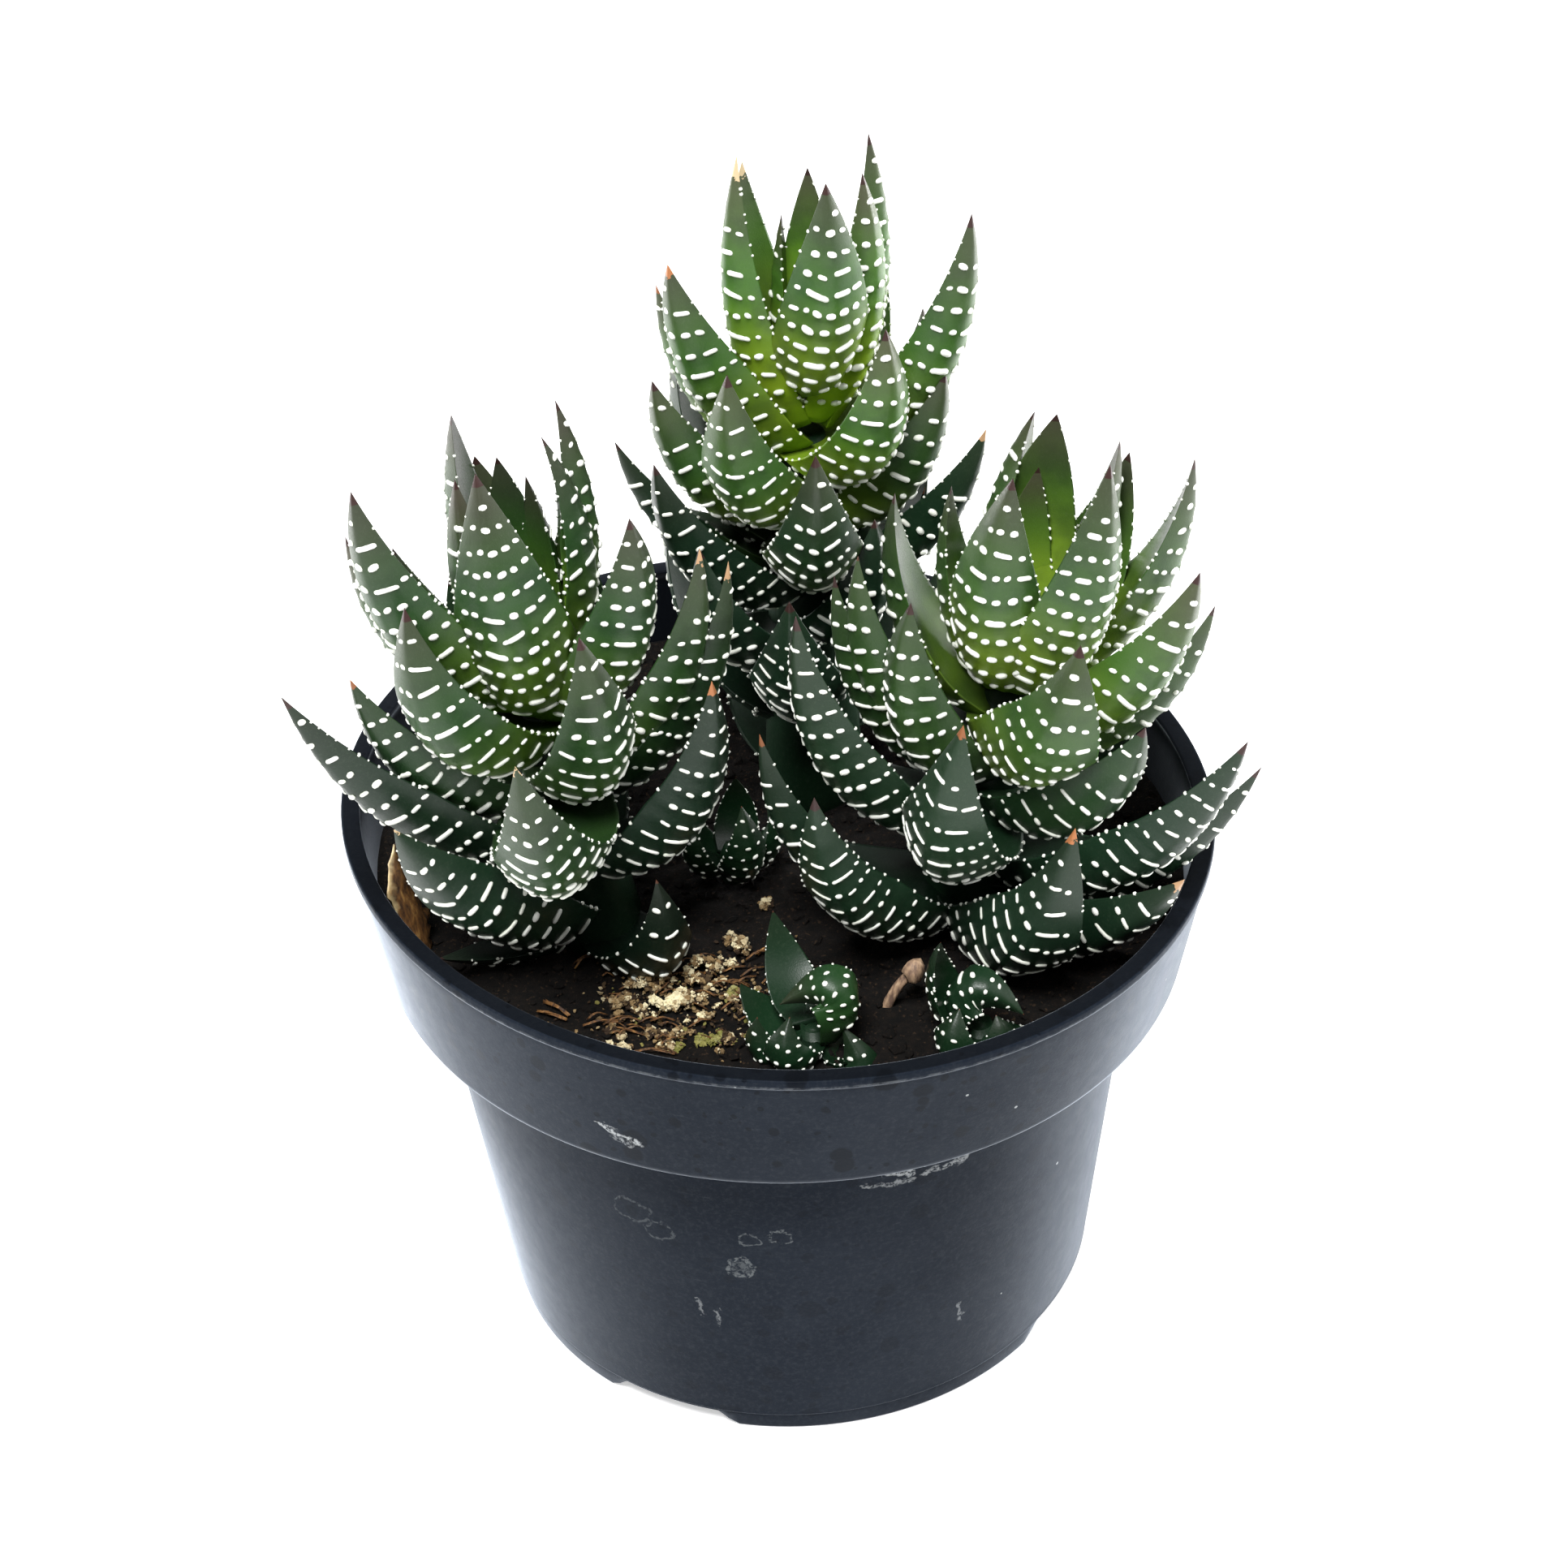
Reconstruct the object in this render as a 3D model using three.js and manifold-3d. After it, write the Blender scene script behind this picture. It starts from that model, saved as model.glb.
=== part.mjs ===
// Potted haworthia: three zebra-banded rosettes and their offsets in a round plastic nursery pot.
// Millimetres, +Z up. The origin is the middle of the pot's foot, on the surface it stands on,
// and -Y is the front of the pot.
import * as THREE from 'three';
import { mergeVertices } from 'three/addons/utils/BufferGeometryUtils.js';
import Module from 'manifold-3d';

const wasm = await Module();
wasm.setup();

// Driving dimensions of the pot
const POT_HEIGHT = 74;
const RIM_RADIUS = 55;
const RIM_WIDTH = 2.6;
const LIP_HEIGHT = 1.5;
const COLLAR_TOP_RADIUS = 54.6;
const COLLAR_FOOT_RADIUS = 51.7;
const COLLAR_FOOT_HEIGHT = 54.2;
const COLLAR_ROUND = 1.5;
const STEP_RADIUS = 45.3;
const STEP_HEIGHT = 53;
const FOOT_RADIUS = 39;
const FOOT_HEIGHT = 2.8;
const FOOT_RING_WIDTH = 2.4;
const WALL = 1.3;
const SHELF_RISE = 0.5;
const EDGE_ROUND = 0.4;
const FLOOR_UNDERSIDE = 2.2;
const FLOOR_TOP = 3.8;
const POT_SIDES = 40;
const RIM_OVAL = 0.05;

// The foot ring is broken by four notches, and water leaves by round holes in the floor
const NOTCH_ANGLES = [-120, -30, 60, 150];
const NOTCH_WIDTH = 17;
const NOTCH_DEPTH = 8;
const DRAIN_RADIUS = 4.5;
const DRAIN_CIRCLE = 25;
const DRAIN_ANGLES = [-75, 15, 105, 195];
const DRAIN_SIDES = 10;

// Soil
const CLEARANCE = 0.3;
const SOIL_TOP = 64;
const SOIL_BUMP = 0.35;
const SOIL_WAVES = { x: 0.31, y: 0.27, shift: 0.8 };
const SOIL_RIPPLES = { x: 0.6, y: 0.5, share: 0.5 };
const SOIL_RINGS = [51.2, 40, 27, 14];
const SOIL_SIDES = 32;
const SURFACE_BAND = 0.1;
const CUTTER_DEPTH = 40;
const LEAF_CUT_HEIGHT = SOIL_TOP + SOIL_BUMP + CLEARANCE;

// Stems
const STEM_RADIUS = 5.5;
const STEM_DEPTH = 15;
const STEM_BASE = SOIL_TOP + 1;
const STEM_SIDES = 10;
const CORE_RADIUS = 6.4;
const CORE_TOP_RADIUS = 3.2;
const STEM_OVERLAP = 2;
const HOLE_OVERSHOOT = 5;

// Leaf section and outline, as shares of the leaf's length and width
const WIDEST_AT = 0.24;
const ROOT_WIDTH = 0.7;
const OUTLINE_POWER = 1.9;
const THICKNESS = 0.42;
const THICKNESS_LOSS = 0.04;
const ROUNDNESS = 2.3;
const ROUNDNESS_LOSS = 0.9;
const TIP_FADE = 2.2;
const BACK_STEPS = [-1, -0.58, 0, 0.58, 1];
const FIRST_RING = 0.13;
const LAST_RING = 0.955;
const BAND_SPACING = 9.5;
const RIDGE = 0.42;
const TOOTH = 0.3;
const ROOT_OFFSET = 1;

// Leaves on the far side, from the youngest to the oldest
const GOLDEN_ANGLE = 137.5;
const SPIRAL_REACH = [14, 24];
const SPIRAL_RISE = [28, 23];
const SPIRAL_BELLY = [0.12, 0.16];
const SPIRAL_WIDTH = [12.5, 14];

const PLANT_GREEN = 0x3f6b35;
const DEEP_GREEN = 0x274a33;
const SOFT_GREEN = 0x5b8a3a;
const SURFACES = {
  pot: { colour: 0x32373d, roughness: 0.45 },
  soil: { colour: 0x2a211b, roughness: 0.95 },
  moss_crust: { colour: 0xb5a671, roughness: 0.95 },
  dry_leaf: { colour: 0x9a6a34, roughness: 0.8 },
  dry_stub: { colour: 0xb8946a, roughness: 0.8 },
};
const LEAF_ROUGHNESS = 0.5;

// Leaves that face the front, placed as on the plant. Each row holds: azimuth, height of the root
// on the stem, reach of the tip from the stem, rise of the tip above the root, belly, width, roll.
const ROSETTES = [
  {
    name: 'rosette_back',
    colour: PLANT_GREEN,
    base: [6, 15],
    lean: 0.02,
    stemTop: 61,
    leaves: [
      [27, 56, 10, 36.5, 0.08, 10.5, -60],
      [-148, 57, 8.5, 38.5, 0.08, 8.5, 5],
      [133, 58, 9, 30.5, 0.08, 10, 0],
      [76, 60, 7, 27, 0.06, 8, 0],
      [106, 60, 6, 21.5, 0.05, 6, 60],
      [-74, 63, 10, 31, 0.1, 11.8, -12],
      [-29, 58, 8.5, 34, 0.08, 9.5, -30],
      [-22, 52, 21.5, 36, 0.12, 12, -35],
      [-156, 55, 17.5, 28, 0.1, 12.5, 30],
      [171, 53, 17.5, 21.5, 0.1, 11.5, 25],
      [-60, 53, 18, 24.5, 0.18, 13, 0],
      [-119, 49, 20.5, 25, 0.2, 13.5, 10],
      [-155, 46, 20.5, 22, 0.14, 13, 30],
      [-90, 40, 21, 24, 0.2, 12.8, 0],
      [-29, 44, 19, 23, 0.12, 12.5, -30],
      [-19, 36, 23, 21.5, 0.12, 12.5, -30],
      [-177, 37, 23.5, 18, 0.12, 12.5, 25],
      [-144, 34, 23.5, 25.5, 0.14, 12.5, 20],
      [-27, 30, 16, 19.5, 0.1, 4, 0],
      [-130, 26, 22, 23, 0.16, 13, 0],
      [-100, 20, 21, 23, 0.18, 13.5, 0],
      [-60, 28, 15, 21, 0.14, 12, 0],
    ],
    spiral: { first: 50, from: 12, to: 168, count: 25, top: 51, drop: 2.05 },
  },
  {
    name: 'rosette_left',
    colour: DEEP_GREEN,
    base: [-24, -10],
    lean: -0.11,
    stemTop: 40,
    leaves: [
      [116, 40, 7, 33, 0.08, 11.5, 50],
      [27, 40, 10.5, 33.5, 0.08, 10.5, -40],
      [5, 40, 7.2, 31.5, 0.08, 11, 0],
      [77, 40, 5, 27, 0.06, 9, 0],
      [-138, 39, 4.5, 31, 0.06, 8.5, 30],
      [-92, 38, 8, 35.5, 0.12, 14.5, 0],
      [42, 40, 5.5, 24.5, 0.05, 7, 0],
      [-25, 36, 17.5, 27.5, 0.12, 13.5, -30],
      [-149, 39, 17, 35.5, 0.12, 13, 30],
      [178, 37, 18, 25.5, 0.12, 12, 20],
      [-127, 33, 18.5, 28.5, 0.2, 14, 15],
      [-65, 27, 19, 28, 0.18, 13.5, 0],
      [-92, 24, 31, 24.5, 0.25, 15.5, 0],
      [-154, 24, 22.5, 25.5, 0.14, 13, 30],
      [-155, 16, 31, 35, 0.1, 13, 30],
      [-134, 4, 26.5, 29.5, 0.1, 13.5, 50],
      [-56, 1, 18.5, 15.5, 0.3, 11, -20],
      [-33, 12, 26, 31.5, 0.14, 12.5, -30],
      [-12, 26, 23.5, 30, 0.12, 12.5, -25],
      [-6, 22, 26, 30, 0.12, 12, -20],
      [-148, 1, 22, 6, 0.05, 7, 0],
    ],
    spiral: { first: 100, from: 60, to: 165, count: 18, top: 34, drop: 1.95 },
  },
  {
    name: 'rosette_right',
    colour: SOFT_GREEN,
    base: [23, -12],
    lean: 0.19,
    stemTop: 39,
    leaves: [
      [105, 39, 8, 28.5, 0.08, 11.5, 50],
      [90, 40, 5, 29, 0.08, 11.5, 0],
      [38, 39, 11, 26, 0.08, 10, -40],
      [4, 37, 16.5, 30, 0.12, 13, -20],
      [100, 39, 5, 22.5, 0.06, 8, 0],
      [-126, 37, 12, 32, 0.1, 13, 10],
      [-73, 37, 12, 36, 0.12, 13, 8],
      [-39, 32, 21, 28.5, 0.14, 13.5, -30],
      [-11, 27, 22, 23, 0.14, 12.5, -25],
      [-80, 30, 18, 22, 0.24, 15, -35],
      [-52, 20, 21.5, 20.5, 0.16, 14, -25],
      [-114, 15, 24, 27.5, 0.22, 15, -10],
      [-77, 3, 25, 27.5, 0.24, 14.5, -45],
      [-39, 10, 32, 32, 0.14, 14, -30],
      [-18, 6, 32, 25, 0.14, 13, -30],
      [-47, 1, 30.5, 21.5, 0.12, 12.5, -50],
      [-142, 3, 32, 26, 0.18, 13, 45],
      [-161, 15, 31, 33, 0.14, 14, 25],
      [156, 31, 18.5, 23.5, 0.12, 12.5, 10],
      [-173, 25, 22, 27, 0.14, 12.5, 25],
      [-148, 23, 19, 28, 0.14, 12.5, 20],
      [-177, 22, 24, 26, 0.12, 12, 20],
      [153, 34, 12, 23.5, 0.08, 9, 0],
      [-169, 3, 31, 24.5, 0.16, 13, 25],
    ],
    spiral: { first: 40, from: 8, to: 140, count: 18, top: 34, drop: 1.95 },
  },
];

// Young offsets that come up through the soil round the three large rosettes. Their rows hold the
// same values. A leaf with a negative reach arches over the middle of its offset.
const OFFSET_STEM_RADIUS = 2.4;
const OFFSET_STEM_DEPTH = 8;
const OFFSET_STEM_SIDES = 5;
const OFFSET_BAND_SPACING = 6;
const OFFSETS = [
  {
    name: 'offset_front',
    colour: SOFT_GREEN,
    base: [2, -36.5],
    lean: 0,
    stemTop: 2,
    leaves: [
      [-10, 1, -4, 4, 0.95, 7.5, -60],
      [148, 1, 10, 4, 0.2, 7.5, 0],
      [-165, 0.5, 7, 5, 0.4, 6.5, 50],
      [-130, 0.5, 4.5, 6, 0.45, 7, 30],
      [-35, 0.5, 4, 3, 1.2, 6.5, -50],
      [108, 2, 12, 9, 0.15, 6.8, 0],
      [50, 2, 5, 6, 0.2, 6, 0],
    ],
  },
  {
    name: 'offset_right',
    colour: SOFT_GREEN,
    base: [22, -38.5],
    lean: 0,
    stemTop: 2,
    leaves: [
      [150, 1, 4.8, 12, 0.12, 7, 0],
      [150, 1, -6, 4, 0.6, 7, 55],
      [-130, 0.5, 4, 6.5, 0.35, 7.5, 0],
      [-60, 0.5, 3.5, 5, 0.3, 6, 0],
      [-27, 1, 8, 4, 0.25, 6.5, -20],
    ],
  },
  {
    name: 'offset_middle',
    colour: DEEP_GREEN,
    base: [-6, -3],
    lean: 0,
    stemTop: 5,
    leaves: [
      [-70, 2, 5, 12, 0.18, 6.5, 0],
      [-150, 2, 5, 9, 0.18, 6, 0],
      [-10, 2, 5, 9, 0.18, 6, 0],
      [70, 2, 4, 10, 0.15, 6, 0],
      [150, 1, 5, 7, 0.18, 6, 0],
    ],
  },
];

// Pale dried moss crust in front of the left rosette
const CRUST_CENTRE = [-11, -27];
const CRUST_SIZE = [11.5, 11, 3.4];
const CRUST_LUMPS = 0.14;
const CRUST_RIPPLES = 0.1;

// Withered leaf against the inside of the pot, and the dry stub of an old flower stalk
const DRY_LEAF_FOOT = [-46, -12.8];
const DRY_LEAF_HEIGHT = 15.5;
const DRY_LEAF_WIDTH = 5;
const DRY_LEAF_THICKNESS = 0.8;
const DRY_LEAF_FLARE = 0.3;
const DRY_LEAF_LEAN = [[0, 0, 0], [-0.7, 0.5, 0.35], [-1.3, 1.2, 0.7], [-1.4, 2, 1]];
const STUB_FOOT = [11, -30.6];
const STUB_TIP = [14.8, -31, 5.5];
const STUB_RADIUS = 0.7;
const STUB_HEAD_RADIUS = 1.6;
const STUB_HEAD_SHAPE = [0.9, 0.9, 1.25];

const UP = new THREE.Vector3(0, 0, 1);

function degrees(angle) {
  return THREE.MathUtils.degToRad(angle);
}

// Turns a closed three.js geometry into a solid that can be joined and cut.
function toSolid(geometry) {
  const bare = geometry.clone();
  bare.deleteAttribute('normal');
  bare.deleteAttribute('uv');
  const merged = mergeVertices(bare, 1e-4);
  const corners = merged.index.array;
  const kept = [];
  for (let i = 0; i < corners.length; i += 3) {
    const [a, b, c] = [corners[i], corners[i + 1], corners[i + 2]];
    if (a !== b && b !== c && c !== a) kept.push(a, b, c);
  }
  return new wasm.Manifold(new wasm.Mesh({
    numProp: 3,
    vertProperties: Float32Array.from(merged.attributes.position.array),
    triVerts: Uint32Array.from(kept),
  }));
}

// Gives a solid's surface back as a three.js geometry.
function toGeometry(solid) {
  const surface = solid.getMesh();
  const geometry = new THREE.BufferGeometry();
  geometry.setAttribute('position', new THREE.BufferAttribute(surface.vertProperties, 3));
  geometry.setIndex(new THREE.BufferAttribute(surface.triVerts, 1));
  geometry.computeVertexNormals();
  return geometry;
}

// Keeps the outer skin of a fused solid, so hollows that fusing seals are filled.
function outerSkin(solid) {
  const shells = solid.decompose();
  return shells.reduce((largest, shell) => (shell.volume() > largest.volume() ? shell : largest));
}

// Turns an outline of [radius, height] points about the Z axis.
function turned(outline, sides) {
  const points = outline.map(([radius, height]) => new THREE.Vector2(radius, height));
  const geometry = new THREE.LatheGeometry(points, sides);
  geometry.rotateX(Math.PI / 2);
  return geometry;
}

// The thin pot is pressed slightly oval at its rim and stays round at its foot.
function pressOval(geometry) {
  const position = geometry.attributes.position;
  for (let i = 0; i < position.count; i += 1) {
    const [x, y, z] = [position.getX(i), position.getY(i), position.getZ(i)];
    const share = (z / POT_HEIGHT) ** 2;
    const factor = 1 - RIM_OVAL * share * Math.sin(2 * Math.atan2(y, x));
    position.setXY(i, x * factor, y * factor);
  }
  return geometry;
}

function potSolid() {
  const lipBase = POT_HEIGHT - LIP_HEIGHT;
  const outline = [
    [0, FLOOR_UNDERSIDE],
    [FOOT_RADIUS - FOOT_RING_WIDTH, FLOOR_UNDERSIDE],
    [FOOT_RADIUS - FOOT_RING_WIDTH, 0],
    [FOOT_RADIUS - EDGE_ROUND, 0],
    [FOOT_RADIUS, FOOT_HEIGHT],
    [STEP_RADIUS, STEP_HEIGHT],
    [COLLAR_FOOT_RADIUS - COLLAR_ROUND, COLLAR_FOOT_HEIGHT],
    [COLLAR_FOOT_RADIUS, COLLAR_FOOT_HEIGHT + COLLAR_ROUND],
    [COLLAR_TOP_RADIUS, lipBase],
    [RIM_RADIUS, lipBase + EDGE_ROUND],
    [RIM_RADIUS - EDGE_ROUND, POT_HEIGHT],
    [RIM_RADIUS - RIM_WIDTH, POT_HEIGHT],
    [COLLAR_TOP_RADIUS - WALL, lipBase - EDGE_ROUND],
    [COLLAR_FOOT_RADIUS - WALL, COLLAR_FOOT_HEIGHT + COLLAR_ROUND],
    [STEP_RADIUS - WALL, STEP_HEIGHT + SHELF_RISE],
    [FOOT_RADIUS - WALL, FLOOR_TOP],
    [0, FLOOR_TOP],
  ];
  let pot = toSolid(pressOval(turned(outline, POT_SIDES)));
  for (const angle of NOTCH_ANGLES) {
    const notch = new THREE.BoxGeometry(NOTCH_DEPTH, NOTCH_WIDTH, 2 * FLOOR_UNDERSIDE);
    notch.translate(FOOT_RADIUS, 0, 0);
    notch.rotateZ(degrees(angle));
    pot = pot.subtract(toSolid(notch));
  }
  for (const angle of DRAIN_ANGLES) {
    const drain = new THREE.CylinderGeometry(DRAIN_RADIUS, DRAIN_RADIUS, 2 * FLOOR_TOP, DRAIN_SIDES);
    drain.rotateX(Math.PI / 2);
    drain.translate(DRAIN_CIRCLE, 0, FLOOR_TOP);
    drain.rotateZ(degrees(angle));
    pot = pot.subtract(toSolid(drain));
  }
  return pot;
}

// A straight round shaft along a stem's axis, for the stem itself and for the hole it stands in.
function shaft(foot, axis, { from, to, radius, topRadius = radius, sides }) {
  const geometry = new THREE.CylinderGeometry(topRadius, radius, to - from, sides);
  geometry.rotateX(Math.PI / 2);
  geometry.translate(0, 0, (to + from) / 2);
  geometry.applyQuaternion(new THREE.Quaternion().setFromUnitVectors(UP, axis));
  geometry.translate(foot.x, foot.y, foot.z);
  return toSolid(geometry);
}

function leafWidth(t) {
  if (t < WIDEST_AT) {
    return ROOT_WIDTH + (1 - ROOT_WIDTH) * Math.sin((t / WIDEST_AT) * (Math.PI / 2));
  }
  return 1 - ((t - WIDEST_AT) / (1 - WIDEST_AT)) ** OUTLINE_POWER;
}

// One thick pointed leaf: flat face towards the stem, keeled back crossed by raised bands,
// and small teeth where each band meets the edges.
function leafSolid(base, axis, row, bandSpacing) {
  const [azimuth, attach, reach, rise, belly, width, roll] = row;
  const angle = degrees(azimuth);
  const outward = new THREE.Vector3(Math.cos(angle), Math.sin(angle), 0);
  outward.addScaledVector(axis, -outward.dot(axis)).normalize();
  const side = new THREE.Vector3().crossVectors(axis, outward);

  const root = new THREE.Vector2(ROOT_OFFSET, attach);
  const tip = new THREE.Vector2(reach, attach + rise);
  const chord = tip.clone().sub(root);
  const length = chord.length();
  const bend = new THREE.Vector2(chord.y, -chord.x).divideScalar(length);
  const control = root.clone().addScaledVector(chord, 0.5).addScaledVector(bend, 2 * belly * length);
  const midrib = new THREE.QuadraticBezierCurve(root, control, tip);

  const rings = [0];
  const ringCount = 2 * Math.max(2, Math.round(length / bandSpacing));
  for (let i = 0; i < ringCount; i += 1) {
    rings.push(FIRST_RING + ((LAST_RING - FIRST_RING) * i) / (ringCount - 1));
  }

  const positions = [];
  rings.forEach((t, ring) => {
    const point = midrib.getPoint(t);
    const along = midrib.getTangent(t);
    const twist = degrees(roll) * Math.min(1, 2 * t);
    const flatBack = outward.clone().multiplyScalar(along.y).addScaledVector(axis, -along.x);
    const back = flatBack.clone().multiplyScalar(Math.cos(twist)).addScaledVector(side, Math.sin(twist));
    const across = side.clone().multiplyScalar(Math.cos(twist)).addScaledVector(flatBack, -Math.sin(twist));
    const crest = ring % 2 === 0 && ring > 0 ? 1 : 0;
    const shrink = Math.min(1, TIP_FADE * (1 - t));
    const half = (width * leafWidth(t)) / 2;
    const depth = 2 * half * (THICKNESS - THICKNESS_LOSS * t);
    const roundness = ROUNDNESS - ROUNDNESS_LOSS * t;
    for (const step of BACK_STEPS) {
      const onEdge = Math.abs(step) === 1;
      const sideways = step * half + (onEdge ? step * crest * TOOTH * shrink : 0);
      const ridge = onEdge ? 0 : crest * RIDGE * shrink;
      const raised = depth * (1 - Math.abs(step) ** roundness) + ridge;
      const vertex = base.clone()
        .addScaledVector(outward, point.x)
        .addScaledVector(axis, point.y)
        .addScaledVector(across, sideways)
        .addScaledVector(back, raised);
      positions.push(vertex.x, vertex.y, vertex.z);
    }
  });
  const apex = base.clone().addScaledVector(outward, tip.x).addScaledVector(axis, tip.y);
  positions.push(apex.x, apex.y, apex.z);

  const sides = BACK_STEPS.length;
  const indices = [];
  for (let j = 1; j < sides - 1; j += 1) indices.push(0, j + 1, j);
  for (let ring = 0; ring < rings.length - 1; ring += 1) {
    for (let j = 0; j < sides; j += 1) {
      const [a, b] = [ring * sides + j, ring * sides + ((j + 1) % sides)];
      indices.push(a, b, b + sides, a, b + sides, a + sides);
    }
  }
  const last = (rings.length - 1) * sides;
  const apexIndex = rings.length * sides;
  for (let j = 0; j < sides; j += 1) indices.push(last + j, last + ((j + 1) % sides), apexIndex);

  const geometry = new THREE.BufferGeometry();
  geometry.setAttribute('position', new THREE.Float32BufferAttribute(positions, 3));
  geometry.setIndex(indices);
  return toSolid(geometry);
}

// Leaves on the far side of a rosette follow the plant's own spiral down the stem.
function spiralLeaves({ first, from, to, count, top, drop }) {
  const { lerp } = THREE.MathUtils;
  const rows = [];
  for (let i = 0; i < count; i += 1) {
    const azimuth = (first + GOLDEN_ANGLE * i) % 360;
    const age = i / count;
    const [reach, rise] = [lerp(...SPIRAL_REACH, age), lerp(...SPIRAL_RISE, age)];
    const [belly, width] = [lerp(...SPIRAL_BELLY, age), lerp(...SPIRAL_WIDTH, age)];
    if (azimuth >= from && azimuth <= to) rows.push([azimuth, top - drop * i, reach, rise, belly, width, 0]);
  }
  return rows;
}

function stemAxis({ base, lean }) {
  return {
    base: new THREE.Vector3(base[0], base[1], STEM_BASE),
    axis: new THREE.Vector3(lean, 0, 1).normalize(),
  };
}

// What lies below the soil's surface around a stem is cut away from the leaves.
function underSoil() {
  const slab = new THREE.BoxGeometry(3 * RIM_RADIUS, 3 * RIM_RADIUS, CUTTER_DEPTH);
  slab.translate(0, 0, LEAF_CUT_HEIGHT - CUTTER_DEPTH / 2);
  return toSolid(slab);
}

function rosetteSolid(rosette) {
  const { base, axis } = stemAxis(rosette);
  const rows = [...rosette.leaves, ...spiralLeaves(rosette.spiral)];
  const leaves = rows.map((row) => leafSolid(base, axis, row, BAND_SPACING));
  const crown = wasm.Manifold.union(leaves).subtract(underSoil());
  const sides = STEM_SIDES;
  const stem = shaft(base, axis, { from: -STEM_DEPTH, to: STEM_OVERLAP, radius: STEM_RADIUS, sides });
  const [radius, topRadius] = [CORE_RADIUS, CORE_TOP_RADIUS];
  const core = shaft(base, axis, { from: STEM_OVERLAP / 2, to: rosette.stemTop, radius, topRadius, sides });
  return outerSkin(crown.add(stem).add(core));
}

function offsetSolid(offset) {
  const { base, axis } = stemAxis(offset);
  const leaves = offset.leaves.map((row) => leafSolid(base, axis, row, OFFSET_BAND_SPACING));
  const crown = wasm.Manifold.union(leaves).subtract(underSoil());
  const [radius, sides] = [OFFSET_STEM_RADIUS, OFFSET_STEM_SIDES];
  const stem = shaft(base, axis, { from: -OFFSET_STEM_DEPTH, to: offset.stemTop, radius, sides });
  return outerSkin(crown.add(stem));
}

// Cuts a neighbour out of a solid, with clearance on every side.
function cutClear(solid, neighbour) {
  const shifts = [[0, 0, 0], [1, 0, 0], [-1, 0, 0], [0, 1, 0], [0, -1, 0], [0, 0, -1], [0, 0, 1]];
  return shifts.reduce((left, shift) => {
    const moved = neighbour.translate(shift.map((share) => share * CLEARANCE));
    return left.subtract(moved);
  }, solid);
}

// A low lumpy mound lying on the soil.
function crustSolid(neighbours) {
  const geometry = new THREE.IcosahedronGeometry(1, 3);
  const position = geometry.attributes.position;
  const [sizeX, sizeY, sizeZ] = CRUST_SIZE;
  for (let i = 0; i < position.count; i += 1) {
    const [x, y, z] = [position.getX(i), position.getY(i), position.getZ(i)];
    const lumps = CRUST_LUMPS * Math.sin(7 * x + 1) * Math.cos(6 * y);
    const lump = 1 + lumps + CRUST_RIPPLES * Math.sin(9 * y - 5 * x);
    position.setXYZ(i, sizeX * x * lump, sizeY * y * lump, sizeZ * z * (1 + 2 * (lump - 1)));
  }
  geometry.translate(CRUST_CENTRE[0], CRUST_CENTRE[1], LEAF_CUT_HEIGHT);
  const mound = toSolid(geometry).subtract(underSoil());
  return outerSkin(neighbours.reduce(cutClear, mound));
}

// A thin withered leaf, curled across its width, standing on its foot and leaning outward.
function dryLeafSolid() {
  const shape = new THREE.Shape();
  const [half, thick] = [DRY_LEAF_WIDTH / 2, DRY_LEAF_THICKNESS];
  const flare = DRY_LEAF_FLARE * thick;
  shape.moveTo(-half, 0);
  shape.quadraticCurveTo(0, half, half, 0);
  shape.lineTo(half + flare, thick);
  shape.quadraticCurveTo(0, half + thick + flare, -half - flare, thick);
  shape.closePath();
  const [x, y] = DRY_LEAF_FOOT;
  const route = new THREE.CatmullRomCurve3(DRY_LEAF_LEAN.map(([aside, behind, share]) => (
    new THREE.Vector3(x + aside, y + behind, LEAF_CUT_HEIGHT + share * DRY_LEAF_HEIGHT)
  )));
  const geometry = new THREE.ExtrudeGeometry(shape, { steps: 6, extrudePath: route, curveSegments: 3 });
  return toSolid(geometry).subtract(underSoil());
}

// The stub leans over from the soil and ends in a small dried head.
function stubSolid() {
  const foot = new THREE.Vector3(STUB_FOOT[0], STUB_FOOT[1], SOIL_TOP - 1);
  const head = new THREE.Vector3(STUB_TIP[0], STUB_TIP[1], SOIL_TOP + STUB_TIP[2]);
  const axis = head.clone().sub(foot);
  const length = axis.length();
  const stalkSize = { from: 0, to: length, radius: STUB_RADIUS, sides: OFFSET_STEM_SIDES };
  const stalk = shaft(foot, axis.normalize(), stalkSize);
  const knob = new THREE.IcosahedronGeometry(STUB_HEAD_RADIUS, 1);
  knob.scale(...STUB_HEAD_SHAPE);
  knob.translate(head.x, head.y, head.z);
  return stalk.add(toSolid(knob)).subtract(underSoil());
}

// Height of the soil's low waves above its mean level.
function soilBump(x, y) {
  const waves = Math.sin(SOIL_WAVES.x * x + SOIL_WAVES.shift) * Math.cos(SOIL_WAVES.y * y);
  const ripples = SOIL_RIPPLES.share * Math.sin(SOIL_RIPPLES.x * x - SOIL_RIPPLES.y * y);
  return (SOIL_BUMP * (waves + ripples)) / (1 + SOIL_RIPPLES.share);
}

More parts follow.
